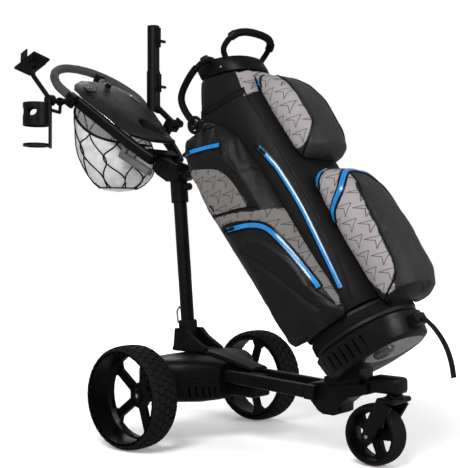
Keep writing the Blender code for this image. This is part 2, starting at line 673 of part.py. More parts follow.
def handle():
    body("handle", (HINGE_X, 0, HINGE_Z), "stem")
    hub = rod("handle_hub", 0.0215, (HINGE_X, -0.0222, HINGE_Z), (HINGE_X, 0.0222, HINGE_Z), "frame_black", 24)
    join(hub, block("hub_tongue", (0.060, 0.038, 0.030), handle_point(0.0120, 0, -0.0080), None, HANDLE_TURN))
    join(hub, block("hub_bridge", (0.026, 0.1144, 0.030), handle_point(0.0325), None, HANDLE_TURN))
    cut(hub, rod("hub_pin_hole", 0.0056, (HINGE_X, -0.06, HINGE_Z), (HINGE_X, 0.06, HINGE_Z), None, 14))
    carry("handle", hub)
    for label, side in (("left", 1), ("right", -1)):
        bar = loft("side_bar_" + label, bar_rings(side, LOOP, BAR_W, BAR_T), "frame_black")
        carry("handle", bar)
    half_loop = smooth_path([handle_point(h, y) for h, y in CROWN], 4)
    other = [Vector((p.x, -p.y, p.z)) for p in reversed(half_loop)]
    grip = pipe("grip_loop", [*half_loop, *other[1:]], GRIP_R, "foam_black", resolution=3)
    for side in (-1, 1):
        cut(grip, block(f"grip_end_{side}", (0.0412, 0.06, 0.06), handle_point(0.325, side * 0.172), None, HANDLE_TURN))
    cover = loft("console_cover", console_rings("cover"), "console_grey")
    base = loft("console_base", console_rings("base"), "casing_black")
    opening = oval(OPENING_L, OPENING_W, 2, 20)
    hollow = [[handle_point(OPENING_H + a, b, z) for a, b in opening] for z in (-0.05, 0.12)]
    cut(cover, loft("cover_opening", hollow, None))
    cut(base, loft("base_opening", hollow, None))
    lever_turn = HANDLE_TURN @ Matrix.Rotation(math.radians(-12), 4, "Y")
    pad = block("fold_lever", (0.146, 0.024, 0.022), handle_point(0.0300, -0.0945, -0.0340), "pad_grey", lever_turn, 0.006, 2)
    join(pad, block("lever_post", (0.016, 0.014, 0.0226), handle_point(0.0900, -0.0960, -0.0290), None, HANDLE_TURN))
    carry("handle", cover, base, grip, pad)

    # Controls
    facet = Matrix.Rotation(math.radians(-4.0), 4, "Y") @ Matrix.Rotation(math.radians(5.0), 4, "X")
    button_at = handle_point(0.345, -0.100, 0.0334)
    button = block("function_button", (0.030, 0.040, 0.0060), button_at, "casing_black", HANDLE_TURN @ facet, 0.002)
    body("function_button", button_at, "handle")
    carry("function_button", button)
    dial = rod("speed_dial", 0.0110, handle_point(0.395, 0.012, 0.0286), handle_point(0.395, 0.012, 0.0440), "casing_black",
               16, 0.0095)
    body("speed_dial", handle_point(0.395, 0.012, 0.0286), "handle")
    carry("speed_dial", dial)
    housing = block("thumb_housing", (0.026, 0.030, 0.034), handle_point(0.5050, 0.066, 0.0), "casing_black", HANDLE_TURN, 0.004)
    carry("handle", housing)
    thumb = rod("thumb_button", 0.0125, handle_point(0.4914, 0.066, 0.0), handle_point(0.4804, 0.066, 0.0), "pad_grey", 20,
                round_by=0.002)
    body("thumb_button", handle_point(0.4914, 0.066, 0.0), "handle")
    carry("thumb_button", thumb)


def net():
    """Mesh catch-all hung under the console, open at the top."""
    count = 24
    mouth = []
    for a, b in oval(0.134, 0.134, 2.3, count):
        sag = 0.030 * (b / 0.134) ** 2
        mouth.append(handle_point(0.276 + a, b, -0.030 - sag))
    bottom = Vector((-0.362, 0, 0.742))

    def ring(depth, scale, inset):
        points = []
        for i, point in enumerate(mouth):
            angle = 2 * math.pi * i / count
            flat = bottom + Vector((-0.138 * math.cos(angle), 0.112 * math.sin(angle), 0))
            place = point.lerp(flat, depth)
            centre = sum(mouth, Vector()) / count
            middle = centre.lerp(bottom, depth)
            out = place - middle
            points.append(middle + out * (scale - inset / max(out.length, 0.01)))
        return points

    stations = ((0.0, 1.0), (0.22, 1.04), (0.45, 1.03), (0.68, 0.92), (0.87, 0.68), (0.97, 0.38))
    outer = [ring(depth, scale, 0.0) for depth, scale in stations]
    wall = 0.0035
    inner = [ring(depth * 0.975, scale, wall) for depth, scale in stations]

    def build(made):
        out_rows = [[made.verts.new(p) for p in row] for row in outer]
        in_rows = [[made.verts.new(p) for p in row] for row in inner]
        for rows in (out_rows, in_rows):
            for low, high in zip(rows, rows[1:]):
                for i in range(count):
                    j = (i + 1) % count
                    made.faces.new((low[i], low[j], high[j], high[i]))
            made.faces.new(rows[-1])
        for i in range(count):
            j = (i + 1) % count
            made.faces.new((out_rows[0][j], out_rows[0][i], in_rows[0][i], in_rows[0][j]))

    piece = add("console_net", mesh_from(build), "net_grey")
    carry("handle", piece)


# ---------------------------------------------------------------- umbrella holder


def umbrella_point(z, out=0.0, across=0.0):
    return Vector((UMB_X + (z - UMB_FOOT) * math.tan(-UMB_LEAN) * 0.4 + out, UMB_Y + across, z))


def umbrella():
    pivot = handle_point(UMB_H, UMB_Y, 0.0440)
    px, py, pz = pivot
    socket = block("umbrella_socket", (0.034, 0.0430, 0.012), handle_point(UMB_H, 0.1450, 0.0240), "frame_black",
                   HANDLE_TURN, 0.002)
    bar_turn = HANDLE_TURN @ Matrix.Rotation(math.radians(-14.3), 4, "Z")
    join(socket, block("socket_skirt", (0.030, 0.008, 0.042), handle_point(UMB_H - 0.0042, 0.1366, 0.0080), None, bar_turn))
    for side in (-1, 1):
        ear = (0.026, 0.0080, 0.034)
        join(socket, block(f"socket_ear_{side}", ear, handle_point(UMB_H, py + side * 0.0215, 0.0430), None, HANDLE_TURN))
    join(socket, rod("umbrella_bolt", 0.0040, (px, py - 0.0240, pz), (px, py + 0.0240, pz), None, 12))
    knob = rod("umbrella_knob", 0.0130, (px, py + 0.0262, pz), (px, py + 0.0400, pz), "frame_black", 10, round_by=0.002)
    carry("handle", socket)
    body("umbrella_knob", (px, py + 0.0262, pz), "handle")
    carry("umbrella_knob", knob)

    lower = rod("umbrella_tube_lower", 0.0230, umbrella_point(UMB_FOOT), umbrella_point(UMB_SEAM), "casing_black", 24)
    cut(lower, block("lower_slant", (0.200, 0.100, 0.100), handle_point(0.27, UMB_Y, -0.0200), None, HANDLE_TURN))
    join(lower, rod("tube_eye", 0.0120, (px, py - 0.0168, pz), (px, py + 0.0168, pz), None, 16))
    join(lower, rod("tube_link", 0.0100, (px, py, pz), umbrella_point(UMB_FOOT + 0.054), None, 14))
    join(lower, block("lower_strip", (0.010, 0.014, 0.062), umbrella_point(UMB_SEAM - 0.042, 0.0267), None))
    cut(lower, rod("lower_bore", 0.0214, umbrella_point(UMB_SEAM - 0.106), umbrella_point(UMB_SEAM + 0.02), None, 24))
    cut(lower, rod("tube_eye_hole", 0.0046, (px, py - 0.05, pz), (px, py + 0.05, pz), None, 12))
    body("umbrella_lower", pivot, "handle")
    carry("umbrella_lower", lower)

    upper = rod("umbrella_tube_upper", 0.0207, umbrella_point(UMB_SEAM - 0.085), umbrella_point(UMB_TOP), "casing_black", 24)
    join(upper, block("upper_strip", (0.010, 0.014, 0.066), umbrella_point(UMB_TOP - 0.042, 0.0244), None))
    cut(upper, rod("upper_bore", 0.0165, umbrella_point(UMB_SEAM - 0.100), umbrella_point(UMB_TOP + 0.02), None, 20))
    body("umbrella_upper", umbrella_point(UMB_SEAM), "umbrella_lower")
    carry("umbrella_upper", upper)

    for label, parent, z, out in (
        ("lower", "umbrella_lower", UMB_SEAM - 0.058, 0.0321), ("upper", "umbrella_upper", UMB_TOP - 0.058, 0.0298),
    ):
        start, end = umbrella_point(z, out), umbrella_point(z, out + 0.010)
        screw = rod(f"wing_screw_{label}", 0.0042, start, end, "frame_black", 12)
        join(screw, block(f"wing_{label}", (0.0090, 0.026, 0.008), umbrella_point(z, out + 0.0120), None))
        body(f"wing_screw_{label}", start, parent)
        carry(f"wing_screw_{label}", screw)


# ---------------------------------------------------------------- phone and cup holders


def accessories():
    at = handle_point(MOUNT_H, -0.1806)
    px, py, pz = PHONE_PIVOT
    bar_turn = HANDLE_TURN @ Matrix.Rotation(math.radians(18.5), 4, "Z")
    mount = block("accessory_mount", (0.034, 0.0150, 0.046), at, "frame_black", bar_turn, 0.003)
    join(mount, rod("mount_arm", 0.0090, at + Vector((0, -0.004, 0)), (px, py + 0.0475, pz), None, 14))
    join(mount, rod("mount_pin", 0.0060, (px, py + 0.0500, pz), (px, py + 0.0300, pz), None, 14))
    join(mount, rod("mount_end", 0.0090, (px, py + 0.0314, pz), (px, py + 0.0100, pz), None, 14))
    carry("handle", mount)

    cx, cy, cz = CRADLE
    arm = rod("phone_arm", 0.0170, (px, py + 0.0094, pz), (px, py - 0.0120, pz), "frame_black", 20)
    elbow = Vector((cx + 0.006, cy, cz - 0.038))
    join(arm, rod("arm_link", 0.0075, (px, py, pz), elbow, None, 12))
    ball = Vector((cx + 0.0045, cy + 0.0045, cz - 0.0145))
    join(arm, rod("arm_tip", 0.0070, elbow - Vector((0, 0, 0.002)), ball - Vector((0, 0, 0.0040)), None, 12, 0.0060))
    body("phone_arm", PHONE_PIVOT, "handle")
    carry("phone_arm", arm)

    face = Matrix.Rotation(math.radians(-20), 4, "Y") @ Matrix.Rotation(math.radians(-16.5), 4, "X")
    frame = Matrix.Translation(CRADLE) @ face
    cradle = block("phone_cradle", (0.108, 0.060, 0.008), CRADLE, "casing_black", face)
    join(cradle, rod("cradle_cup", 0.0130, frame @ Vector((0.004, 0, -0.0020)), frame @ Vector((0.004, 0, -0.0150)), None, 16))
    join(cradle, block("cradle_lip", (0.060, 0.006, 0.018), frame @ Vector((0, 0.0310, 0.007)), None, face))
    body("phone_cradle", ball, "phone_arm")
    carry("phone_cradle", cradle)
    jaw = block("phone_jaw", (0.034, 0.0060, 0.034), frame @ Vector((0.006, -0.0340, 0.012)), "casing_black", face, 0.002)
    body("phone_jaw", frame @ Vector((0.006, -0.0340, 0.012)), "phone_cradle")
    carry("phone_jaw", jaw)

    ux, uy, uz = CUP
    ring_place = Matrix.Translation(CUP)
    cup = turned("cup_holder", [
        (CUP_R, 0.033), (CUP_R, -0.036), (CUP_R - 0.0035, -0.036), (CUP_R - 0.0035, 0.033),
    ], "casing_black", ring_place, sides=28)
    for i, angle in enumerate((-2.25, -1.0, 2.6)):
        out = Vector((math.cos(angle), math.sin(angle), 0))
        hole_at = Vector((ux, uy, uz + 0.006))
        cut(cup, rod(f"cup_hole_{i}", 0.0145, hole_at + out * 0.02, hole_at + out * 0.08, None, 18))
    spine_angle = math.radians(42)
    out = Vector((math.cos(spine_angle), math.sin(spine_angle), 0))
    turn = Matrix.Rotation(spine_angle, 4, "Z")
    join(cup, block("cup_spine", (0.0060, 0.030, 0.148), Vector(CUP) + out * (CUP_R + 0.0010) + Vector((0, 0, -0.0300)), None, turn))
    base = Vector(CUP) + Vector((0, 0, -0.0990))
    join(cup, rod("cup_base", CUP_R - 0.001, base, base + Vector((0, 0, 0.0080)), None, 28))
    cut(cup, rod("cup_base_hole", 0.0300, base - Vector((0, 0, 0.02)), base + Vector((0, 0, 0.03)), None, 24))
    link = (Vector((px, py + 0.0400, pz)), Vector((px - 0.002, py + 0.0380, pz - 0.0340)), Vector(CUP) + out * CUP_R)
    link[2].z = pz - 0.0360
    join(cup, rod("cup_eye", 0.0130, (px, py + 0.0320, pz), (px, py + 0.0440, pz), None, 18))
    join(cup, rod("cup_drop", 0.0055, link[0], link[1], None, 10), rod("cup_reach", 0.0055, link[1], link[2], None, 10))
    cut(cup, rod("cup_eye_bore", 0.0066, (px, py, pz), (px, py + 0.08, pz), None, 14))
    body("cup_holder", (px, py + 0.0380, pz), "handle")
    carry("cup_holder", cup)


# ---------------------------------------------------------------- bag

# Station up the bag: centre towards the front, half depth, half width, squareness
BAG_BODY = [
    (0.0520, 0.000, 0.134, 0.142, 2.6), (0.110, -0.002, 0.138, 0.146, 2.9), (0.300, -0.004, 0.140, 0.148, 3.2),
    (0.550, -0.004, 0.138, 0.146, 3.2), (0.700, 0.000, 0.130, 0.136, 3.0), (0.790, 0.014, 0.108, 0.114, 2.6),
    (0.845, 0.024, 0.092, 0.096, 2.3),
]
BAG_WALL = 0.005
POCKET_GAP = 0.0006


def bag_ring(up, front, half_n, half_y, power, slope=0.0, count=32):
    ring = []
    for a, b in oval(half_n, half_y, power, count):
        ring.append(bag_point(up + slope * (front + a - MOUTH_N), front + a, b))
    return ring


def bag_body_rings(grow=0.0, bottom=None):
    rings = []
    for i, (up, front, half_n, half_y, power) in enumerate(BAG_BODY):
        slope = RIM_SLOPE * (0, 0, 0, 0, 0.2, 0.6, 1.0)[i]
        if i == 0 and bottom is not None:
            up = bottom
        rings.append(bag_ring(up, front, half_n + grow, half_y + grow, power, slope))
    return rings


def pocket(name, finish_name, stations, side=0):
    """A padded pocket: rings up the bag, each a superellipse, trimmed clear of the bag's body."""
    rings = []
    for up, front, half_n, across, half_y, power in stations:
        ring = [bag_point(up, front + a, across + b) for a, b in oval(half_n, half_y, power, 24)]
        if side:
            ring = [Vector((p.x, side * p.y, p.z)) for p in ring]
        rings.append(ring)
    piece = loft(name, rings, finish_name)
    return piece


def bag():
    body("bag", bag_point(0), "chassis")
    base = turned("bag_base", [
        (BASE_R, 0.0516), (BASE_R + 0.003, 0.040), (BASE_R + 0.003, 0.006), (BASE_R - 0.004, 0.0), (0.0006, 0.0),
        (0.0006, 0.0516),
    ], "fabric_black", Matrix.Translation(bag_point(0)) @ BAG_TURN, sides=40)
    trunk = loft("bag_body", bag_body_rings(), "fabric_black")
    hollow_rings = bag_body_rings(-BAG_WALL, 0.060)
    hollow_rings[-1] = [low + (high - low) * 1.5 for low, high in zip(*hollow_rings[-2:])]
    cut(trunk, loft("bag_hollow", hollow_rings, None))
    rim_rings = [
        bag_ring(up, 0.026, 0.088 - k, 0.092 - k, 2.3, RIM_SLOPE)
        for up, k in ((0.8545, 0.002), (0.866, 0.0), (0.892, 0.001), (0.905, 0.005))
    ]
    rim = loft("bag_rim", rim_rings, "casing_black")
    wells = []
    for row, (front, count) in enumerate(((-0.045, 2), (0.000, 3), (0.045, 2))):
        for i in range(count):
            across = (i - (count - 1) / 2) * 0.053
            low = [bag_point(0.84 + RIM_SLOPE * (front + a), 0.026 + front + a, across + b)
                   for a, b in oval(0.0185, 0.0235, 3, 16)]
            high = [bag_point(0.93 + RIM_SLOPE * (front + a), 0.026 + front + a, across + b)
                    for a, b in oval(0.0185, 0.0235, 3, 16)]
            wells.append(loft(f"club_well_{row}_{i}", [low, high], None))
    cut(rim, *wells)
    carry("bag", base, trunk, rim)

    # Handles moulded in one piece with the rim: one across the front, one down each side
    front_handle = smooth_path([bag_point(*p) for p in (
        (0.880, 0.068, -0.072), (0.900, 0.090, -0.092), (0.910, 0.130, -0.088), (0.914, 0.150, -0.056), (0.917, 0.154, 0.0),
        (0.914, 0.150, 0.056), (0.910, 0.130, 0.088), (0.900, 0.090, 0.092), (0.880, 0.068, 0.072),
    )], 3)
    grips = [pipe("front_handle", front_handle, 0.0090, None, resolution=2)]
    for label, side in (("left", 1), ("right", -1)):
        path = smooth_path([bag_point(u, n, side * y) for u, n, y in (
            (0.882, 0.040, 0.078), (0.905, 0.034, 0.102), (0.904, -0.006, 0.116), (0.893, -0.056, 0.118),
            (0.872, -0.100, 0.115), (0.835, -0.114, 0.110), (0.785, -0.110, 0.102), (0.720, -0.088, 0.090),
        )], 3)
        grips.append(pipe("side_handle_" + label, path, 0.0085, None, resolution=2))
    join(rim, *grips)
    cut(rim, loft("rim_keep_out", bag_body_rings(POCKET_GAP), None))

    # Pockets: a tall clothing pocket on each side, the ball pocket and the lower pocket in front
    for label, side in (("left", 1), ("right", -1)):
        side_pocket = pocket("side_pocket_" + label, "fabric_grey", (
            (0.042, -0.030, 0.090, 0.150, 0.018, 2.4), (0.060, -0.030, 0.100, 0.152, 0.030, 2.8),
            (0.150, -0.036, 0.102, 0.152, 0.036, 3.2), (0.300, -0.046, 0.106, 0.152, 0.038, 3.4),
            (0.500, -0.058, 0.110, 0.154, 0.040, 3.4), (0.620, -0.066, 0.100, 0.152, 0.038, 3.2),
            (0.690, -0.080, 0.078, 0.148, 0.032, 2.8), (0.730, -0.090, 0.052, 0.142, 0.022, 2.4),
        ), side)
        cut(side_pocket, loft(f"side_keep_out_{label}", bag_body_rings(POCKET_GAP, 0.020), None))
        carry("bag", side_pocket)
    lower = pocket("front_pocket_lower", "fabric_charcoal", (
        (0.014, 0.160, 0.036, 0, 0.080, 2.4), (0.030, 0.168, 0.052, 0, 0.098, 2.8), (0.070, 0.174, 0.060, 0, 0.108, 3.2),
        (0.200, 0.176, 0.064, 0, 0.112, 3.4), (0.330, 0.170, 0.062, 0, 0.108, 3.2), (0.390, 0.160, 0.050, 0, 0.100, 2.8),
        (0.415, 0.150, 0.034, 0, 0.088, 2.4),
    ))
    clear_r = BASE_R + 0.0040
    base_rings = [bag_ring(up, 0, clear_r, clear_r, 2, count=40) for up in (-0.01, 0.0520)]
    base_clear = loft("lower_keep_out_base", base_rings, None)
    cut(lower, loft("lower_keep_out", bag_body_rings(POCKET_GAP, 0.0518), None), base_clear)
    ball = pocket("ball_pocket", "fabric_charcoal", (
        (0.470, 0.146, 0.034, 0, 0.076, 2.6), (0.486, 0.154, 0.047, 0, 0.092, 2.8), (0.540, 0.160, 0.053, 0, 0.100, 3.0),
        (0.640, 0.160, 0.053, 0, 0.102, 3.2), (0.700, 0.151, 0.047, 0, 0.096, 3.0), (0.740, 0.140, 0.036, 0, 0.086, 2.8),
        (0.762, 0.130, 0.022, 0, 0.070, 2.4),
    ))
    cut(ball, loft("ball_keep_out", bag_body_rings(POCKET_GAP), None))
    carry("bag", lower, ball)

    # Free tail of the webbing that holds the bag's base, hanging from the tray's hook
    tail_line = smooth_path([bag_point(-0.036, 0.1650), (0.788, 0, 0.364), (0.816, 0, 0.326), (0.832, 0, 0.285),
                             (0.839, 0, 0.247)], 3)
    rings = []
    for i, place in enumerate(tail_line):
        ahead = tail_line[min(i + 1, len(tail_line) - 1)] - tail_line[max(i - 1, 0)]
        flat = ahead.normalized().cross(Vector((0, 1, 0)))
        rings.append([place + Vector((0, dy * 0.0125, 0)) + flat * (dn * 0.0011)
                      for dy, dn in ((-1, -1), (1, -1), (1, 1), (-1, 1))])
    tail = loft("strap_tail", rings, "fabric_black")
    carry("chassis", tail)


# ---------------------------------------------------------------- assembly

body("chassis", (0, 0, 0))
rear_casing()
chassis()
front_end()
for wheel_side in (-1, 1):
    rear_wheel(wheel_side)
caster()
bag_support()
stem()
handle()
net()
umbrella()
accessories()
bag()


def stand_on_origin():
    """Move everything so that the origin is the middle of the base of the bounding box."""
    bpy.context.view_layer.update()
    graph = bpy.context.evaluated_depsgraph_get()
    low, high = Vector((9, 9, 9)), Vector((-9, -9, -9))
    for piece in model.objects:
        if piece.type != "MESH":
            continue
        solid = piece.evaluated_get(graph)
        for vertex in solid.to_mesh().vertices:
            place = solid.matrix_world @ vertex.co
            low = Vector(map(min, low, place))
            high = Vector(map(max, high, place))
        solid.to_mesh_clear()
    shift = Vector((-(low.x + high.x) / 2, -(low.y + high.y) / 2, -low.z))
    anchors["chassis"].location += shift
    for tool in helpers.objects:
        tool.matrix_world = Matrix.Translation(shift) @ tool.matrix_world
    bpy.context.view_layer.update()


stand_on_origin()
for finished in model.objects:
    if finished.type == "MESH":
        finished.data.shade_smooth()
        finished.data.set_sharp_from_angle(angle=math.radians(35))
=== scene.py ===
"""Looks of a three-wheel golf trolley with a cart bag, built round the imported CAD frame.

Metres, +X the way the trolley travels, +Y its left side, +Z up. Places are measured from the middle
of the rear axle and moved into the frame by ORIGIN, which is read from the wheels' joint.
"""

import json
import math

import bmesh
import bpy
from mathutils import Matrix, Vector, noise
from mathutils.bvhtree import BVHTree
from mathutils.kdtree import KDTree

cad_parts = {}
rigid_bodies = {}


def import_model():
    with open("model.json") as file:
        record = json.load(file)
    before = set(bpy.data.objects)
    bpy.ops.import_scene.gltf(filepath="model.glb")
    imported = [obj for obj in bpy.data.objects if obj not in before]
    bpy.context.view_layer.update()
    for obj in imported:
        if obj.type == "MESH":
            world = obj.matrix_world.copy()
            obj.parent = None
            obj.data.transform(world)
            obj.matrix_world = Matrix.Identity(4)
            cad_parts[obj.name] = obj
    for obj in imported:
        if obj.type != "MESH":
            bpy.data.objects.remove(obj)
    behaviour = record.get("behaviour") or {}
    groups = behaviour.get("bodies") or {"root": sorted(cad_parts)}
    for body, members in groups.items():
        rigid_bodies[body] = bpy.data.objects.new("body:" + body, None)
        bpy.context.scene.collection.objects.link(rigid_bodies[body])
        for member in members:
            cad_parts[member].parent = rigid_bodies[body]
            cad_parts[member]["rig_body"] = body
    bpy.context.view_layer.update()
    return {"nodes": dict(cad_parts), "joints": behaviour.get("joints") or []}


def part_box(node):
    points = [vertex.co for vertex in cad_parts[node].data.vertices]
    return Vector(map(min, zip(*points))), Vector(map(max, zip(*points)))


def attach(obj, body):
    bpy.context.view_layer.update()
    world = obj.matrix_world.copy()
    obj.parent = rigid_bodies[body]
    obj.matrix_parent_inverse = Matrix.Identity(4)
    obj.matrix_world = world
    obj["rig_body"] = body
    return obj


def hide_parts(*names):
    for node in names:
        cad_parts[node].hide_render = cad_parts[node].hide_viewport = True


for old in list(bpy.data.objects):
    bpy.data.objects.remove(old)

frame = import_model()
JOINTS = {joint["name"]: joint for joint in frame["joints"]}

WHEEL_R = 0.145
CASTER_R = 0.0804
HALF_TRACK = 0.2825
left_hub = Vector(JOINTS["wheel_left_spin"]["pos_m"])
ORIGIN = Vector((left_hub.x, left_hub.y - HALF_TRACK, 0))

# Bag: its base centre, its lean, and the stations of its trunk
BAG_BASE = Vector((0.598, 0, 0.330))
TILT = math.radians(33.5)
TRUNK = [  # up the bag, centre towards the front, half depth, half width, squareness, rim slope
    (0.0530, 0.000, 0.134, 0.142, 2.6, 0.00), (0.110, -0.002, 0.138, 0.146, 2.9, 0.00),
    (0.300, -0.004, 0.140, 0.148, 3.2, 0.00), (0.550, -0.004, 0.138, 0.146, 3.2, 0.00),
    (0.700, 0.000, 0.130, 0.136, 3.0, -0.10), (0.790, 0.014, 0.108, 0.114, 2.6, -0.30),
    (0.845, 0.024, 0.092, 0.096, 2.3, -0.50),
]
MOUTH_N = 0.035

# Handle
SLOPE = math.radians(38.5)
HANDLE_X, BARS_Z = -0.138, 0.830


def bag_point(up, front=0.0, side=0.0):
    """A point on the bag: up its axis from the base, towards its front, and to its left."""
    return ORIGIN + BAG_BASE + Vector((
        -up * math.sin(TILT) + front * math.cos(TILT), side, up * math.cos(TILT) + front * math.sin(TILT),
    ))


def bag_place(point):
    """The inverse of bag_point: up, front and side of a point."""
    rel = point - ORIGIN - BAG_BASE
    return (
        -rel.x * math.sin(TILT) + rel.z * math.cos(TILT),
        rel.x * math.cos(TILT) + rel.z * math.sin(TILT),
        rel.y,
    )


def handle_point(along, side=0.0, above=0.0):
    """A point on the handle: along its slope from above the hinge, to its left, and above its plane."""
    return ORIGIN + Vector((
        HANDLE_X - along * math.cos(SLOPE) + above * math.sin(SLOPE),
        side,
        BARS_Z + along * math.sin(SLOPE) + above * math.cos(SLOPE),
    ))


BAG_UP = bag_point(1) - bag_point(0)
BAG_FRONT = bag_point(0, 1) - bag_point(0)
LEFT = Vector((0, 1, 0))
SIDES = (("right", -1), ("left", 1))


def facing(place, ahead):
    """The matrix that puts an object's own Z along this direction, at this place."""
    return Matrix.Translation(place) @ ahead.to_track_quat("Z", "Y").to_matrix().to_4x4()


# ---------------------------------------------------------------- materials

MATERIALS = {}


class Shader:
    """A Principled material and short ways to add nodes to it."""

    def __init__(self, name, rough, metallic=0.0, **sockets):
        self.material = bpy.data.materials.new(name)
        self.material.use_nodes = True
        self.nodes = self.material.node_tree.nodes
        self.links = self.material.node_tree.links
        self.out = self.nodes["Principled BSDF"]
        self.out.inputs["Roughness"].default_value = rough
        self.out.inputs["Metallic"].default_value = metallic
        for socket, value in sockets.items():
            self.out.inputs[socket.replace("_", " ")].default_value = value
        self.place = self.nodes.new("ShaderNodeTexCoord").outputs["Object"]
        MATERIALS[name] = self.material

    def link(self, start, end):
        if hasattr(start, "is_linked"):
            self.links.new(start, end)
        else:
            end.default_value = start
        return end

    def noise(self, scale, detail=3.0, vector=None):
        node = self.nodes.new("ShaderNodeTexNoise")
        node.inputs["Scale"].default_value = scale
        node.inputs["Detail"].default_value = detail
        self.links.new(vector or self.place, node.inputs["Vector"])
        return node.outputs["Fac"]

    def math(self, operation, a, b=0.0, c=0.0):
        node = self.nodes.new("ShaderNodeMath")
        node.operation = operation
        for socket, value in zip(node.inputs, (a, b, c)):
            self.link(value, socket)
        return node.outputs[0]

    def vector(self, operation, a, b=(0, 0, 0), scale=None):
        node = self.nodes.new("ShaderNodeVectorMath")
        node.operation = operation
        self.link(a, node.inputs[0])
        if operation not in ("LENGTH", "SINE", "SCALE"):
            self.link(b, node.inputs[1])
        if scale is not None:
            self.link(scale, node.inputs["Scale"])
        return node.outputs["Value" if operation in ("LENGTH", "DOT_PRODUCT") else "Vector"]

    def ramp(self, value, low, high, out_low, out_high):
        node = self.nodes.new("ShaderNodeMapRange")
        sockets = ("From Min", "From Max", "To Min", "To Max")
        for socket, number in zip(sockets, (low, high, out_low, out_high)):
            node.inputs[socket].default_value = number
        self.links.new(value, node.inputs["Value"])
        return node.outputs["Result"]

    def mix(self, factor, a, b):
        node = self.nodes.new("ShaderNodeMix")
        node.data_type = "RGBA"
        self.link(factor, node.inputs["Factor"])
        for key, value in (("A", a), ("B", b)):
            socket = [s for s in node.inputs if s.name == key and s.type == "RGBA"][0]
            self.link(value if hasattr(value, "is_linked") else (*value, 1), socket)
        return [s for s in node.outputs if s.type == "RGBA"][0]

    def colour(self, value):
        self.links.new(value, self.out.inputs["Base Color"])

    def rough(self, value):
        self.links.new(value, self.out.inputs["Roughness"])

    def bump(self, height, strength, distance):
        node = self.nodes.new("ShaderNodeBump")
        node.inputs["Strength"].default_value = strength
        node.inputs["Distance"].default_value = distance
        self.links.new(height, node.inputs["Height"])
        self.links.new(node.outputs["Normal"], self.out.inputs["Normal"])

    def weave(self, pitch):
        """Height of a plain weave: threads crossing at this pitch."""
        waves = self.vector("SINE", self.vector("SCALE", self.place, scale=2 * math.pi / pitch))
        return self.vector("DOT_PRODUCT", waves, (0.33, 0.33, 0.33))


def tone(colour, factor):
    return tuple(min(1.0, c * factor) for c in colour)


def hard(name, colour, rough, metallic=0.0, grain=900.0, depth=0.00006, vary=0.07, wear=0.0, **sockets):
    """Moulded plastic, painted or bare metal, or rubber: fine grain, uneven gloss and a little edge wear."""
    s = Shader(name, rough, metallic, **sockets)
    cloudy = s.noise(14.0, 4.0)
    base = s.mix(s.ramp(cloudy, 0.35, 0.65, 0.0, 1.0), tone(colour, 0.86), tone(colour, 1.14))
    if wear:
        edge = s.nodes.new("ShaderNodeNewGeometry").outputs["Pointiness"]
        base = s.mix(s.ramp(edge, 0.53, 0.60, 0.0, wear), base, tone(colour, 3.2))
    s.colour(base)
    s.rough(s.ramp(s.noise(55.0, 5.0), 0.3, 0.7, max(0.03, rough - vary), min(1.0, rough + vary)))
    s.bump(s.noise(grain, 2.0), 0.35, depth)
    return s.material


def cloth(name, colour, rough, pitch=0.0011, depth=0.00012, heather=0.12, wrinkle=0.0016, **sockets):
    """Coated or woven cloth: threads, heather in the yarn, and soft creases."""
    sockets.setdefault("Specular_IOR_Level", 0.10)
    s = Shader(name, rough, 0.0, Sheen_Weight=0.006, Sheen_Roughness=0.5, **sockets)
    speck = s.noise(1400.0, 2.0)
    base = s.mix(s.ramp(speck, 0.3, 0.7, 0.0, 1.0), tone(colour, 1 - heather), tone(colour, 1 + heather))
    s.colour(s.mix(s.ramp(s.noise(9.0, 4.0), 0.35, 0.7, 0.0, 0.35), base, tone(colour, 1.25)))
    s.rough(s.ramp(s.noise(30.0, 4.0), 0.3, 0.7, max(0.05, rough - 0.08), min(1.0, rough + 0.08)))
    threads = s.math("MULTIPLY", s.weave(pitch), depth)
    crease = s.math("MULTIPLY", s.noise(24.0, 5.0), wrinkle)
    s.bump(s.math("ADD", threads, crease), 0.8, 1.0)
    return s


MOTIF = [(0.05, 0.60), (0.92, 0.94), (0.74, 0.04), (0.60, 0.56)]  # a swept arrowhead in a unit cell
CELL_X, CELL_Z, STAGGER = 0.047, 0.0400, 0.42
LINE_HALF = 0.00095


def patterned(name, colour, line_colour):
    """Warm grey heather cloth printed with staggered rows of thin swept arrowheads."""
    s = cloth(name, colour, 0.62, heather=0.16, wrinkle=0.0012)
    parts = s.nodes.new("ShaderNodeSeparateXYZ")
    s.links.new(s.place, parts.inputs[0])
    high = s.math("DIVIDE", parts.outputs["Z"], CELL_Z)
    row = s.math("FLOOR", high)
    across = s.math("ADD", s.math("DIVIDE", parts.outputs["X"], CELL_X), s.math("MULTIPLY", row, STAGGER))
    cell = s.nodes.new("ShaderNodeCombineXYZ")
    s.links.new(s.math("MULTIPLY", s.math("FRACT", across), CELL_X), cell.inputs[0])
    s.links.new(s.math("MULTIPLY", s.math("FRACT", high), CELL_Z), cell.inputs[1])
    point = cell.outputs[0]
    corners = [Vector((x * CELL_X, y * CELL_Z, 0)) for x, y in MOTIF]
    nearest = None
    for a, b in zip(corners, corners[1:] + corners[:1]):
        from_a = s.vector("SUBTRACT", point, a)
        share = s.math("DIVIDE", s.vector("DOT_PRODUCT", from_a, b - a), (b - a).length_squared)
        clamped = s.math("MINIMUM", s.math("MAXIMUM", share, 0.0), 1.0)
        foot = s.vector("SCALE", tuple(b - a), scale=clamped)
        distance = s.vector("LENGTH", s.vector("SUBTRACT", from_a, foot))
        nearest = distance if nearest is None else s.math("MINIMUM", nearest, distance)
    line = s.ramp(nearest, LINE_HALF * 0.6, LINE_HALF * 1.5, 0.85, 0.0)
    under = s.out.inputs["Base Color"].links[0].from_socket
    s.colour(s.mix(line, under, line_colour))
    return s.material


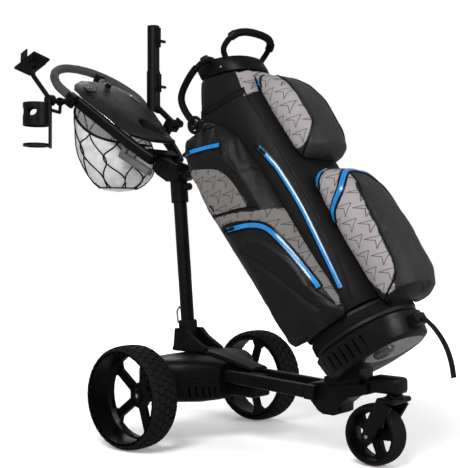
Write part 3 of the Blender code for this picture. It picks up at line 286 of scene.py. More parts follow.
def zip_tape(name):
    s = Shader(name, 0.28, 0.0, Coat_Weight=0.4, Coat_Roughness=0.15)
    blue = (0.002, 0.150, 0.400)
    s.colour(s.mix(s.ramp(s.noise(60.0), 0.35, 0.65, 0.0, 1.0), tone(blue, 0.85), tone(blue, 1.12)))
    s.bump(s.noise(500.0), 0.3, 0.0001)
    return s.material


def net_cloth(name):
    """Fine knitted mesh, half open between its threads."""
    s = Shader(name, 0.7, 0.0)
    s.colour(s.mix(s.ramp(s.noise(40.0), 0.3, 0.7, 0.0, 1.0), (0.50, 0.50, 0.50), (0.66, 0.66, 0.66)))
    s.out.inputs["Alpha"].default_value = 0.62
    s.bump(s.weave(0.0024), 0.8, 0.0004)
    return s.material


def build_materials():
    hard("frame_black", (0.0032, 0.0032, 0.0034), 0.34, wear=0.10, Specular_IOR_Level=0.11)
    hard("casing_black", (0.0022, 0.0022, 0.0026), 0.42, wear=0.08, Specular_IOR_Level=0.10)
    hard("tyre_black", (0.0046, 0.0045, 0.0052), 0.78, grain=500.0, depth=0.0002, wear=0.12,
         Specular_IOR_Level=0.10)
    hard("rim_black", (0.0020, 0.0020, 0.0022), 0.36, wear=0.06, Specular_IOR_Level=0.10)
    hard("steel", (0.62, 0.62, 0.63), 0.24, 1.0, vary=0.08)
    hard("foam_black", (0.0030, 0.0030, 0.0032), 0.55, grain=1300.0, depth=0.0003, Specular_IOR_Level=0.04)
    hard("console_grey", (0.0098, 0.0095, 0.0097), 0.50, wear=0.06, Specular_IOR_Level=0.10)
    hard("silver", (0.62, 0.62, 0.64), 0.28, 0.9)
    hard("gloss_black", (0.002, 0.002, 0.0024), 0.10, Coat_Weight=0.4, Specular_IOR_Level=0.3)
    hard("pad_grey", (0.085, 0.085, 0.090), 0.52, Specular_IOR_Level=0.20)
    hard("smoke_plate", (0.045, 0.045, 0.050), 0.30, 0.2, Coat_Weight=0.5, Specular_IOR_Level=0.3)
    hard("battery_shell", (0.012, 0.012, 0.015), 0.5, Specular_IOR_Level=0.15)
    hard("board_green", (0.02, 0.10, 0.04), 0.5)
    hard("piping_black", (0.0018, 0.0018, 0.0020), 0.36, Specular_IOR_Level=0.14)
    hard("webbing_black", (0.0030, 0.0030, 0.0034), 0.72, grain=700.0, depth=0.0004, Specular_IOR_Level=0.08)
    cloth("fabric_black", (0.0034, 0.0034, 0.0038), 0.38, Specular_IOR_Level=0.20)
    cloth("fabric_soft_black", (0.0036, 0.0035, 0.0036), 0.50)
    cloth("fabric_charcoal", (0.0140, 0.0142, 0.0146), 0.42, Specular_IOR_Level=0.14)
    cloth("fabric_charcoal_deep", (0.0040, 0.0040, 0.0039), 0.42, Specular_IOR_Level=0.14)
    patterned("fabric_grey", (0.213, 0.197, 0.200), (0.024, 0.022, 0.022))
    # The grey print again, darker all over: painted shade for the grey panels on the bag's sides.
    patterned("fabric_grey_painted_shade", (0.112, 0.104, 0.101), (0.016, 0.015, 0.015))
    zip_tape("zip_blue")
    net_cloth("net_grey")
    hard("cord_black", (0.0030, 0.0030, 0.0034), 0.6, Specular_IOR_Level=0.1)


# ---------------------------------------------------------------- mesh tools


def finished(made, name, tidy_normals=True):
    """The mesh of a bmesh, which is then freed."""
    if tidy_normals:
        bmesh.ops.recalc_face_normals(made, faces=made.faces)
    mesh = bpy.data.meshes.new(name)
    made.to_mesh(mesh)
    made.free()
    return mesh


def band(made, low, high, closed=True):
    """Faces between two rows of points."""
    count = len(low)
    for i in range(count if closed else count - 1):
        j = (i + 1) % count
        made.faces.new((low[i], low[j], high[j], high[i]))


def skin(made, rows, closed=True):
    """Faces between all the rows, one after another."""
    for low, high in zip(rows, rows[1:]):
        band(made, low, high, closed)


def turned(made, rows):
    """Faces of a closed profile that goes all the way round; the rows are its copies, in order."""
    for row, after in zip(rows, rows[1:] + rows[:1]):
        for j in range(len(row)):
            k = (j + 1) % len(row)
            made.faces.new((row[j], after[j], after[k], row[k]))


def face_away(mesh, point):
    """Turns an open surface's faces so that they look away from this point."""
    if mesh.polygons[0].normal.dot(mesh.polygons[0].center - point) < 0:
        mesh.flip_normals()


def push(mesh, amount):
    """Moves each vertex along its normal by amount(place), reading every normal before any vertex moves."""
    places = [vertex.co.copy() for vertex in mesh.vertices]
    normals = [normal.vector.copy() for normal in mesh.vertex_normals]
    moved = []
    for place, normal in zip(places, normals):
        moved.extend(place + normal * amount(place))
    mesh.vertices.foreach_set("co", moved)
    mesh.update()


def place_piece(name, mesh, material, body, smooth=35):
    """A mesh as a piece of this material on a body, its edges sharp past an angle in degrees."""
    piece = bpy.data.objects.new(name, mesh)
    bpy.context.scene.collection.objects.link(piece)
    if material:
        mesh.materials.clear()
        mesh.materials.append(MATERIALS[material])
    if smooth:
        mesh.shade_smooth()
        mesh.set_sharp_from_angle(angle=math.radians(smooth))
    if body:
        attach(piece, body)
    return piece


def baked(piece):
    """The piece with its modifiers applied."""
    graph = bpy.context.evaluated_depsgraph_get()
    mesh = bpy.data.meshes.new_from_object(piece.evaluated_get(graph))
    piece.modifiers.clear()
    piece.data = mesh
    return piece


def thicken(piece, thickness, offset):
    """The piece as a wall of this thickness, behind its surface at offset -1 and about it at 0."""
    wall = piece.modifiers.new("wall", "SOLIDIFY")
    wall.thickness = thickness
    wall.offset = offset
    return baked(piece)


def cad_copy(name, node):
    """A welded copy of a CAD node's mesh."""
    made = bmesh.new()
    made.from_mesh(frame["nodes"][node].data)
    bmesh.ops.remove_doubles(made, verts=made.verts, dist=0.00002)
    bmesh.ops.dissolve_limit(made, angle_limit=math.radians(1.0), verts=made.verts, edges=made.edges)
    mesh = finished(made, name, False)
    return mesh


def rounded(node, material, width=0.0012, segments=2, angle=32):
    """A CAD node shown with rounded edges."""
    body = frame["nodes"][node]["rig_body"]
    piece = place_piece(node + "_shown", cad_copy(node + "_mesh", node), material, None)
    bevel = piece.modifiers.new("edges", "BEVEL")
    bevel.width = width
    bevel.segments = segments
    bevel.limit_method = "ANGLE"
    bevel.angle_limit = math.radians(angle)
    bevel.harden_normals = True
    baked(piece)
    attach(piece, body)
    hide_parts(node)
    return piece


def surface_of(*pieces):
    """A tree of these pieces' faces, for finding points on them."""
    vertices, faces = [], []
    for piece in pieces:
        start = len(vertices)
        vertices += [piece.matrix_world @ v.co for v in piece.data.vertices]
        faces += [[start + i for i in polygon.vertices] for polygon in piece.data.polygons]
    return BVHTree.FromPolygons(vertices, faces)


def eased(a, b, c, d, t):
    """The Catmull-Rom curve through these four values, a share t of the way from b to c."""
    return 0.5 * (
        2 * b + (c - a) * t + (2 * a - 5 * b + 4 * c - d) * t * t + (3 * b - a - 3 * c + d) * t ** 3
    )


def smooth_path(points, steps=6):
    """A smooth line through these points, with this many steps between each two."""
    points = [Vector(point) for point in points]
    ends = [2 * points[0] - points[1], *points, 2 * points[-1] - points[-2]]
    path = []
    for a, b, c, d in zip(ends, ends[1:], ends[2:], ends[3:]):
        path += [eased(a, b, c, d, i / steps) for i in range(steps)]
    return [*path, points[-1]]


def headings(path, closed):
    """Which way a path goes at each of its points."""
    count = len(path)
    ways = []
    for i in range(count):
        after = path[(i + 1) % count] if closed or i < count - 1 else path[i]
        before = path[i - 1] if closed or i > 0 else path[i]
        ways.append(after - before)
    return ways


def swept(name, path, normals, section, material, body, closed=False):
    """A section of (across, out) points swept along a path that lies on a surface with these normals."""
    made = bmesh.new()
    rows = []
    for place, normal, way in zip(path, normals, headings(path, closed)):
        across = normal.cross(way).normalized()
        rows.append([made.verts.new(place + across * a + normal * b) for a, b in section])
    pairs = list(zip(rows, rows[1:])) + ([(rows[-1], rows[0])] if closed else [])
    for low, high in pairs:
        band(made, low, high)
    if not closed:
        made.faces.new(rows[0][::-1])
        made.faces.new(rows[-1])
    mesh = finished(made, name)
    return place_piece(name, mesh, material, body, 50)


def round_section(radius, sides=8, lift=0.0):
    return [(radius * math.cos(2 * math.pi * i / sides), lift + radius * math.sin(2 * math.pi * i / sides))
            for i in range(sides)]


def flat_section(half, high, low=-0.001):
    edge = min(half * 0.3, 0.001)
    return [(-half, low), (half, low), (half, high - edge * 0.6), (half - edge, high), (edge - half, high),
            (-half, high - edge * 0.6)]


def pipe(name, path, radius, material, body, sides=10, closed=False):
    """A round cord or bar along a path, with its own steady normals."""
    normals = []
    side = Vector((0.3, 0.2, 0.93))
    for way in headings(path, closed):
        ahead = way.normalized()
        side = (side - ahead * side.dot(ahead)).normalized()
        normals.append(side)
    return swept(name, path, normals, round_section(radius, sides), material, body, closed)


def on_surface(tree, starts, direction):
    """Where rays from these points meet a surface, and its normals there, smoothed along the line."""
    places, normals = [], []
    for start in starts:
        hit, normal, _, _ = tree.ray_cast(start, direction)
        if hit is None:
            hit, normal, _, _ = tree.find_nearest(start)
        if normal.dot(direction) > 0:
            normal = -normal
        places.append(hit)
        normals.append(normal)
    smoothed = []
    for i in range(len(normals)):
        near = normals[max(0, i - 3):i + 4]
        smoothed.append(sum(near, Vector()).normalized())
    return places, smoothed


# ---------------------------------------------------------------- stage


# The camera as solved from the wheels, in millimetres, radians and metres
LENS = 69.98
AZIMUTH, ELEVATION = math.radians(40.4528), math.radians(-0.5249)
EYE_DISTANCE, LOOK_AT = 2.6854, (0.122, 0, 0.602)

WORLD_STRENGTH = 0.36
LAMPS = (  # name, place, what it is aimed at, size, watts
    ("key", (1.2, -2.6, 2.9), (0.1, 0, 0.6), 1.5, 128.0),
    ("fill", (3.2, 0.6, 1.6), (0.2, 0, 0.5), 1.2, 50.0),
    ("rim", (-2.4, 1.6, 2.6), (0.0, 0, 0.6), 1.2, 30.0),
)


def build_stage():
    camera = bpy.data.cameras.new("camera")
    camera.lens = LENS
    camera.sensor_fit = "VERTICAL"
    camera.sensor_height = 36.0
    camera.sensor_width = 36.0
    eye = bpy.data.objects.new("camera", camera)
    bpy.context.scene.collection.objects.link(eye)
    back = Vector((
        math.sin(AZIMUTH) * math.cos(ELEVATION),
        -math.cos(AZIMUTH) * math.cos(ELEVATION),
        math.sin(ELEVATION),
    ))
    eye.matrix_world = facing(ORIGIN + Vector(LOOK_AT) + back * EYE_DISTANCE, back)
    bpy.context.scene.camera = eye

    made = bmesh.new()
    bmesh.ops.create_grid(made, x_segments=2, y_segments=2, size=9.0)
    floor_mesh = finished(made, "floor", False)
    floor = place_piece("floor", floor_mesh, None, None, 0)
    white = Shader("floor_white", 0.9, Specular_IOR_Level=0.0, Emission_Strength=1.0)
    white.out.inputs["Base Color"].default_value = (0.95, 0.95, 0.95, 1)
    reach = white.vector("LENGTH", white.place)
    glow = white.mix(white.ramp(reach, 0.9, 2.4, 0.0, 1.0), (0.22, 0.22, 0.22), (1.0, 1.0, 1.0))
    white.links.new(glow, white.out.inputs["Emission Color"])
    floor_mesh.materials.append(white.material)
    floor.visible_glossy = False

    made = bmesh.new()
    bmesh.ops.create_icosphere(made, subdivisions=4, radius=40.0)
    dome_mesh = finished(made, "backdrop", False)
    dome = place_piece("backdrop", dome_mesh, None, None, 0)
    glowing = Shader("backdrop_white", 1.0, Specular_IOR_Level=0.0, Emission_Strength=1.0)
    glowing.out.inputs["Base Color"].default_value = (0.0, 0.0, 0.0, 1)
    glowing.out.inputs["Emission Color"].default_value = (1.0, 1.0, 1.0, 1)
    dome_mesh.materials.append(glowing.material)
    dome.visible_diffuse = dome.visible_glossy = dome.visible_transmission = dome.visible_shadow = False

    world = bpy.data.worlds.new("studio")
    world.use_nodes = True
    sky = world.node_tree.nodes["Background"].inputs
    sky["Color"].default_value = (1.0, 1.0, 1.0, 1)
    sky["Strength"].default_value = WORLD_STRENGTH
    bpy.context.scene.world = world
    for name, place, aim, size, power in LAMPS:
        light = bpy.data.lights.new(name, "AREA")
        light.energy = power
        light.size = size
        lamp = bpy.data.objects.new(name, light)
        bpy.context.scene.collection.objects.link(lamp)
        lamp.matrix_world = facing(ORIGIN + Vector(place), Vector(place) - Vector(aim))
    bpy.context.scene.view_settings.view_transform = "Standard"
    bpy.context.scene.view_settings.look = "None"


# ---------------------------------------------------------------- hard parts

HARD = {
    "frame_black": (
        "frame_rail_left", "frame_rail_right", "front_neck", "caster_fork", "bag_tray", "stem_sleeve",
        "hinge_yoke",
        "bag_cradle", "handle_hub", "side_bar_left", "side_bar_right", "umbrella_socket", "accessory_mount",
        "stem_knob", "umbrella_knob",
    ),
    "casing_black": (
        "rear_casing_top", "rear_casing_bottom", "rail_bay", "stem_foot", "console_base",
        "thumb_housing", "phone_arm", "phone_cradle", "phone_jaw", "cup_holder", "umbrella_tube_lower",
        "umbrella_tube_upper", "wing_screw_lower", "wing_screw_upper", "bag_rim",
    ),
    "console_grey": ("console_cover",),
    "pad_grey": ("fold_lever", "thumb_button"),
    "gloss_black": ("function_button", "speed_dial"),
    "rim_black": ("rear_rim_left", "rear_rim_right", "caster_rim"),
}
PLAIN = {
    "frame_black": ("stem_tube",),
    "casing_black": ("drive_motor_left", "drive_motor_right"),
    "steel": ("drive_shaft_left", "drive_shaft_right", "caster_axle", "latch_lever"),
    "smoke_plate": ("tray_window",),
    "battery_shell": ("battery_pack",),
    "board_green": ("motor_controller",),
}
WIDE_EDGES = {  # edge radii, where they aren't EDGE
    "rear_rim_left": 0.0022, "rear_rim_right": 0.0022, "side_bar_left": 0.0030, "side_bar_right": 0.0030,
    "caster_fork": 0.0035, "front_neck": 0.0035, "phone_cradle": 0.0030, "phone_jaw": 0.0020,
    "bag_tray": 0.0020,
}
EDGE = 0.0012


def hard_parts():
    """Every moulded or metal node with its edges rounded; returns the shown pieces by node."""
    shown = {}
    for material, nodes in HARD.items():
        for node in nodes:
            shown[node] = rounded(node, material, WIDE_EDGES.get(node, EDGE))
    for material, nodes in PLAIN.items():
        for node in nodes:
            mesh = frame["nodes"][node].data
            mesh.materials.clear()
            mesh.materials.append(MATERIALS[material])
    return shown


# ---------------------------------------------------------------- tyres


def tread(name, node, body, radius, half, around, block_high):
    """A foam tyre: a smooth carcass with staggered rows of hexagonal blocks that wrap onto the shoulders."""
    made = bmesh.new()
    low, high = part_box(node)
    centre = (low + high) / 2

    def crown(across):
        share = min(1.0, abs(across) / half)
        return radius - block_high - 0.006 * share ** 3

    inner = radius - 0.0155 if radius > 0.1 else radius - 0.0120
    profile = []
    for i in range(13):
        across = -half + 2 * half * i / 12
        profile.append((across, crown(across)))
    profile = [(-half, inner), *profile, (half, inner)]
    steps = 96
    rows = []
    for i in range(steps):
        angle = 2 * math.pi * i / steps
        rows.append([
            made.verts.new(centre + Vector((r * math.cos(angle), a, r * math.sin(angle)))) for a, r in profile
        ])
    turned(made, rows)

    pitch = 2 * math.pi / max(1, around)
    long_half = pitch * radius * 0.5 * 0.92
    lanes = (-1.0, -0.5, 0.0, 0.5, 1.0)
    for lane_at, lane in enumerate(lanes):
        middle = lane * half * 0.93
        for i in range(around):
            angle = pitch * (i + 0.5 * (lane_at % 2))
            cross = long_half * 2 / math.sqrt(3)
            outline = [(-long_half, -cross / 2), (-long_half, cross / 2), (0.0, cross),
                       (long_half, cross / 2), (long_half, -cross / 2), (0.0, -cross)]
            tops, bottoms = [], []
            for scale, ring, lift in ((0.84, tops, block_high), (1.0, bottoms, -0.001)):
                for along, across in outline:
                    where = middle + across * scale
                    over = max(0.0, abs(where) - half)
                    reach = math.copysign(min(abs(where), half + 0.0008), where)
                    r = crown(where) + lift - over * 1.25
                    turn = angle + along * scale / radius
                    corner = Vector((r * math.cos(turn), reach, r * math.sin(turn)))
                    ring.append(made.verts.new(centre + corner))
            made.faces.new(tops)
            made.faces.new(bottoms[::-1])
            band(made, bottoms, tops)
    mesh = finished(made, name)
    tyre = place_piece(name, mesh, "tyre_black", body, 28)
    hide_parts(node)


def wheels():
    """The tyres' treads: blocks on the rear wheels, none on the caster."""
    for label in ("left", "right"):
        tread("tyre_" + label, "rear_tyre_" + label, "wheel_" + label, WHEEL_R, 0.0435, 39, 0.0036)
    tread("tyre_caster", "caster_tyre", "caster_wheel", CASTER_R, 0.0300, 0, 0.0006)


# ---------------------------------------------------------------- bag


def ring_at(stations, t, count):
    """A ring of the trunk, a share t of the way up its list of stations, eased between them."""
    i = min(int(t), len(stations) - 2)
    pick = [stations[max(0, min(len(stations) - 1, i + k))] for k in (-1, 0, 1, 2)]
    up, front, half_n, half_y, power, slope = (eased(*four, t - i) for four in zip(*pick))
    ring = []
    for k in range(count):
        angle = 2 * math.pi * k / count
        c, s = math.cos(angle), math.sin(angle)
        n = front + half_n * math.copysign(abs(c) ** (2 / power), c)
        y = half_y * math.copysign(abs(s) ** (2 / power), s)
        ring.append(bag_point(up + slope * (n - MOUTH_N), n, y))
    return ring


def relief(mesh, depth, scale, seed=0.0, stretch=0.45):
    """Soft folds: moves each vertex along its normal by smooth noise, longer up the bag than across it."""

    def fold(place):
        up, front, side = bag_place(place)
        where = Vector((up * stretch, front, side)) * scale + Vector((seed, seed, seed))
        return depth * (noise.noise(where) + 0.5 * noise.noise(where * 2.1))

    push(mesh, fold)


def trunk():
    """Outer skin of the bag's trunk, open at the mouth, with a doubled edge."""
    made = bmesh.new()
    count, levels = 96, 84
    top = len(TRUNK) - 1
    rows = [[made.verts.new(p) for p in ring_at(TRUNK, top * k / levels, count)] for k in range(levels + 1)]
    skin(made, rows)
    mesh = finished(made, "trunk")
    face_away(mesh, bag_point(0.06))
    relief(mesh, 0.0010, 11.0)
    piece = place_piece("bag_trunk", mesh, "fabric_soft_black", None, 0)
    thicken(piece, 0.0028, -1.0)
    piece.data.shade_smooth()
    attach(piece, "bag")
    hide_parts("bag_body")
    return piece


def puffed(name, node, trunk_tree, cap, pressure=4.0, voxel=0.0060, shrink=0.0030):
    """A padded pocket: its CAD solid remeshed, rounded and blown up a little by cloth simulation."""
    mesh = frame["nodes"][node].data.copy()
    piece = place_piece(name, mesh, "fabric_charcoal", None, 0)
    remesh = piece.modifiers.new("remesh", "REMESH")
    remesh.mode = "VOXEL"
    remesh.voxel_size = voxel
    remesh.use_smooth_shade = True
    ease = piece.modifiers.new("ease", "SMOOTH")
    ease.factor = 0.5
    ease.iterations = 6
    baked(piece)
    mesh = piece.data
    push(mesh, lambda place: -shrink)
    start = [vertex.co.copy() for vertex in mesh.vertices]
    held = piece.vertex_groups.new(name="held")
    for i, place in enumerate(start):
        _, _, _, distance = trunk_tree.find_nearest(place)
        if distance < 0.0085:
            held.add([i], 1.0, "REPLACE")
    blow = piece.modifiers.new("blow", "CLOTH")
    blow.settings.quality = 5
    blow.settings.mass = 0.35
    blow.settings.tension_stiffness = 18
    blow.settings.compression_stiffness = 12
    blow.settings.bending_stiffness = 0.8
    blow.settings.use_pressure = True
    blow.settings.uniform_pressure_force = pressure
    blow.settings.effector_weights.gravity = 0.0
    blow.settings.vertex_group_mass = "held"
    for step in range(1, 19):
        bpy.context.scene.frame_set(step)
    graph = bpy.context.evaluated_depsgraph_get()
    moved = [v.co.copy() for v in piece.evaluated_get(graph).data.vertices]
    piece.modifiers.clear()
    bpy.context.scene.frame_set(1)
    ends = []
    for before, after in zip(start, moved):
        step = after - before
        ends.extend(before + step * min(1.0, cap / max(step.length, 1e-9)))
    mesh.vertices.foreach_set("co", ends)
    mesh.update()
    piece.vertex_groups.clear()
    finer = piece.modifiers.new("finer", "SUBSURF")
    finer.levels = finer.render_levels = 1
    baked(piece)
    piece.data.shade_smooth()
    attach(piece, "bag")
    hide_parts(node)
    return piece


def inside(outline, x, y):
    """Whether a point is inside a closed outline."""
    found = False
    for (ax, ay), (bx, by) in zip(outline, outline[1:] + outline[:1]):
        if (ay > y) != (by > y) and x < (bx - ax) * (y - ay) / (by - ay) + ax:
            found = not found
    return found


def rounded_outline(corners, steps=5):
    closed = smooth_path([(a, b, 0) for a, b in [*corners, corners[0]]], steps)
    return [(p.x, p.y) for p in closed[:-1]]


def paint(piece, rules):
    """Gives each face the material of the first rule that holds for its place on the bag."""
    mesh = piece.data
    names = []
    for _, material in rules:
        if material not in names:
            names.append(material)
            mesh.materials.append(MATERIALS[material])
    first = len(mesh.materials) - len(names)
    for polygon in mesh.polygons:
        up, front, side = bag_place(polygon.center)
        for rule, material in rules:
            if rule(up, front, side):
                polygon.material_index = first + names.index(material)
                break


def groove(piece, lines, width=0.006, depth=0.0022):
    """Draws the cloth in along sewn lines."""
    samples = []
    for line in lines:
        samples += line
    tree = KDTree(len(samples))
    for i, place in enumerate(samples):
        tree.insert(place, i)
    tree.balance()

    def draw_in(place):
        _, _, distance = tree.find(place)
        return -depth * math.exp(-(distance / width) ** 2) if distance < 3 * width else 0.0

    push(piece.data, draw_in)


def even(places, normals, pitch=0.0035):
    """The line with its kinks eased out and its points set at one spacing."""
    for _ in range(3):
        places = [places[0]] + [
            (a + 2 * b + c) / 4 for a, b, c in zip(places, places[1:], places[2:])
        ] + [places[-1]]
    walked = [0.0]
    for a, b in zip(places, places[1:]):
        walked.append(walked[-1] + (b - a).length)
    count = max(4, round(walked[-1] / pitch))
    line, sides = [], []
    at = 0
    for i in range(count + 1):
        goal = walked[-1] * i / count
        while at < len(places) - 2 and walked[at + 1] < goal:
            at += 1
        share = (goal - walked[at]) / max(1e-9, walked[at + 1] - walked[at])
        line.append(places[at].lerp(places[at + 1], min(1.0, share)))
        sides.append(normals[at].lerp(normals[at + 1], min(1.0, share)).normalized())
    sides = [sum(sides[max(0, i - 3):i + 4], Vector()).normalized() for i in range(len(sides))]
    return line, sides


def side_line(points, tree, side, steps=8):
    """A line given by (up, front) on one side of the bag, laid on the surface; side is +1 on the left."""
    starts = [bag_point(p.x, p.y, side * 0.4) for p in smooth_path([(u, n, 0) for u, n in points], steps)]
    return even(*on_surface(tree, starts, Vector((0, -side, 0))))


def near_line(points, tree, side=1, steps=8):
    """A line given by (up, front, side) points, snapped to the nearest surface."""
    places, normals = [], []
    for place in smooth_path([bag_point(u, n, side * y) for u, n, y in points], steps):
        hit, normal, _, _ = tree.find_nearest(place)
        places.append(hit)
        normals.append(normal)
    return even(places, normals)


def zip_line(name, line, tape, teeth):
    """A sealed zip: black tape, a raised blue strip with a groove along it, and a slider with its pull."""
    places, normals = line
    places = [place + normal * 0.0012 for place, normal in zip(places, normals)]
    swept(name + "_tape", places, normals, flat_section(tape, 0.0013, -0.0040), "piping_black", "bag")
    strip = [(-teeth, 0.0004), (teeth, 0.0004), (teeth, 0.0026), (0.0007, 0.0033), (0.0, 0.0024),
             (-0.0007, 0.0033), (-teeth, 0.0026)]
    swept(name + "_strip", places[1:-1], normals[1:-1], strip, "zip_blue", "bag")
    slider(name + "_slider", places[1], (places[3] - places[1]).normalized(), normals[1])


def slider(name, place, along, normal):
    """Zip slider, its bridge, and a moulded pull that lies along the zip."""
    across = normal.cross(along).normalized()
    basis = Matrix((along, across, normal)).transposed().to_4x4()
    made = bmesh.new()
    for size, centre in (
        ((0.013, 0.0105, 0.0050), (0.000, 0, 0.0035)), ((0.010, 0.0030, 0.0030), (0.001, 0, 0.0066)),
        ((0.012, 0.0050, 0.0016), (0.012, 0, 0.0058)), ((0.020, 0.0085, 0.0034), (0.026, 0, 0.0050)),
    ):
        cube = bmesh.ops.create_cube(made, size=1.0)["verts"]
        bmesh.ops.scale(made, vec=Vector(size), verts=cube)
        bmesh.ops.translate(made, vec=Vector(centre), verts=cube)
    bmesh.ops.bevel(made, geom=made.edges[:], offset=0.0009, segments=2, affect="EDGES", profile=0.6)
    mesh = finished(made, name, False)
    mesh.transform(Matrix.Translation(place) @ basis)
    return place_piece(name, mesh, "casing_black", "bag")


def piping(name, line, radius=0.0026):
    places, normals = line
    return swept(name, places, normals, round_section(radius, 8, radius * 0.5), "piping_black", "bag")


def stitches(name, line, offset=0.0, lift=0.0008, length=0.0032, gap=0.0022):
    """A row of stitches beside a seam."""
    places, normals = line
    made = bmesh.new()
    walked, next_at = 0.0, 0.0
    for a, b, normal in zip(places, places[1:], normals):
        run = (b - a).length
        if run < 1e-6:
            continue
        ahead = (b - a) / run
        across = normal.cross(ahead).normalized()
        while next_at < walked + run:
            centre = a + ahead * (next_at - walked) + across * offset + normal * lift
            ring = []
            for da, dc in ((-1, -0.5), (-1, 0.5), (0, 0.8), (1, 0.5), (1, -0.5), (0, -0.8)):
                corner = centre + ahead * da * length / 2 + across * dc * 0.0007 + normal * 0.0002
                ring.append(made.verts.new(corner))
            low = [made.verts.new(v.co - normal * 0.0010) for v in ring]
            made.faces.new(ring)
            made.faces.new(low[::-1])
            band(made, low, ring)
            next_at += length + gap
        walked += run
    mesh = finished(made, name)
    return place_piece(name, mesh, "webbing_black", "bag", 0)


GREY_PANEL = [
    (0.624, -0.150), (0.618, -0.120), (0.590, -0.078), (0.562, -0.046), (0.519, -0.025),
    (0.470, -0.018), (0.425, -0.017), (0.440, -0.060), (0.462, -0.110), (0.484, -0.150),
    (0.50, -0.19), (0.60, -0.19),
]
GREY_BAND = [
    (0.478, -0.190), (0.465, -0.140), (0.430, -0.060), (0.395, 0.000), (0.362, 0.058),
    (0.300, 0.066), (0.200, 0.068), (0.110, 0.068), (0.070, 0.060), (0.120, 0.052),
    (0.160, 0.050), (0.250, 0.034), (0.330, 0.018), (0.358, 0.002), (0.390, -0.036),
    (0.425, -0.105), (0.440, -0.190),
]
POCKET_TOP = [(0.716, -0.150), (0.730, -0.130), (0.728, -0.090), (0.706, -0.046), (0.680, 0.000),
              (0.645, 0.022), (0.560, 0.040), (0.505, 0.044)]
STRAIGHT_ZIP = [(0.684, -0.140), (0.650, -0.070), (0.619, -0.010)]
CURVED_ZIP = [
    (0.412, -0.118), (0.400, -0.090), (0.380, -0.045), (0.356, -0.012), (0.330, 0.006),
    (0.290, 0.017), (0.220, 0.031), (0.155, 0.042), (0.130, 0.043),
]
LONG_ZIP = [(0.568, 0.062), (0.542, 0.069), (0.500, 0.078), (0.464, 0.083), (0.355, 0.088), (0.222, 0.083),
            (0.106, 0.076)]
TRUNK_SEAM = [(0.745, 0.088), (0.633, 0.102), (0.521, 0.106), (0.405, 0.108), (0.293, 0.108), (0.189, 0.104),
              (0.073, 0.085)]
BAND_TOP = [(0.484, -0.172), (0.465, -0.125), (0.440, -0.060), (0.418, -0.017), (0.404, 0.004)]
LOWER_FOLD = [(0.330, -0.100), (0.292, -0.077), (0.246, -0.052), (0.180, -0.020), (0.086, 0.023)]
FOLD_RIDGE = [(0.345, -0.075), (0.318, -0.040), (0.272, -0.012), (0.215, 0.010), (0.150, 0.022)]
STRAP_BAND = [
    (0.792, -0.085), (0.775, -0.045), (0.760, -0.009), (0.750, 0.037), (0.745, 0.068),
    (0.741, 0.092),
]

BALL_SEAM = [(0.748, 0.150, 0.020), (0.735, 0.178, 0.046), (0.710, 0.194, 0.053), (0.681, 0.200, 0.057),
             (0.623, 0.210, 0.066), (0.579, 0.210, 0.064), (0.552, 0.208, 0.064), (0.523, 0.196, 0.080),
             (0.501, 0.172, 0.091), (0.480, 0.135, 0.088)]
LOWER_SEAM = [(0.404, 0.190, 0.010), (0.392, 0.205, 0.030), (0.358, 0.222, 0.047), (0.320, 0.228, 0.062),
              (0.282, 0.231, 0.074), (0.214, 0.232, 0.084), (0.153, 0.229, 0.088), (0.098, 0.223, 0.090),
              (0.068, 0.212, 0.098), (0.036, 0.150, 0.094)]
BALL_ZIP = [(0.722, 0.122, 0.086), (0.742, 0.126, 0.082), (0.757, 0.130, 0.066), (0.764, 0.131, 0.040),
            (0.766, 0.131, 0.0)]
LOWER_ZIP = [(0.268, 0.120, 0.104), (0.295, 0.143, 0.108), (0.314, 0.172, 0.111), (0.336, 0.200, 0.104),
             (0.372, 0.212, 0.070), (0.390, 0.212, 0.036), (0.394, 0.212, 0.0)]
TOP_ZIP = [(0.372, 0.122, 0.104), (0.392, 0.138, 0.098), (0.408, 0.160, 0.086), (0.416, 0.172, 0.058),
           (0.418, 0.176, 0.0)]


def both_ways(points):
    """A line from the right side over the middle to the left side, from its right half."""
    return [(u, n, -y) for u, n, y in points] + [(u, n, y) for u, n, y in reversed(points[:-1])]


def reach_of(seam, up):
    """How far to the side a seam lies at this height."""
    if up >= seam[0][0]:
        return 0.0
    for (high, _, y_high), (low, _, y_low) in zip(seam, seam[1:]):
        if low <= up <= high:
            return y_low + (y_high - y_low) * (up - low) / max(1e-6, high - low)
    return seam[-1][2]


def front_pocket(name, node, seam, trunk_tree, cap):
    piece = puffed(name, node, trunk_tree, cap)
    relief(piece.data, 0.0012, 15.0, 3.0)
    lines = [near_line(seam, surface_of(piece), side) for side in (-1, 1)]
    groove(piece, [line[0] for line in lines], 0.007, 0.0016)
    low = seam[-2][0] - 0.03
    paint(piece, [
        (lambda up, front, side: up < low, "fabric_black"),
        (lambda up, front, side: abs(side) > reach_of(seam, up) and front < 0.222, "fabric_grey"),
        (lambda up, front, side: True, "fabric_charcoal"),
    ])
    tree = surface_of(piece)
    for label, side in SIDES:
        piping(f"{name}_piping_{label}", near_line(seam, tree, side))
    return piece


def below_zip(up, front, _):
    """Whether a place on a side pocket is under its curved zip."""
    if front < CURVED_ZIP[0][1]:
        return up < CURVED_ZIP[0][0]
    for (high, start), (low, end) in zip(CURVED_ZIP, CURVED_ZIP[1:]):
        if start <= front <= end:
            return up < high + (low - high) * (front - start) / max(1e-6, end - start)
    return up < CURVED_ZIP[-1][0]


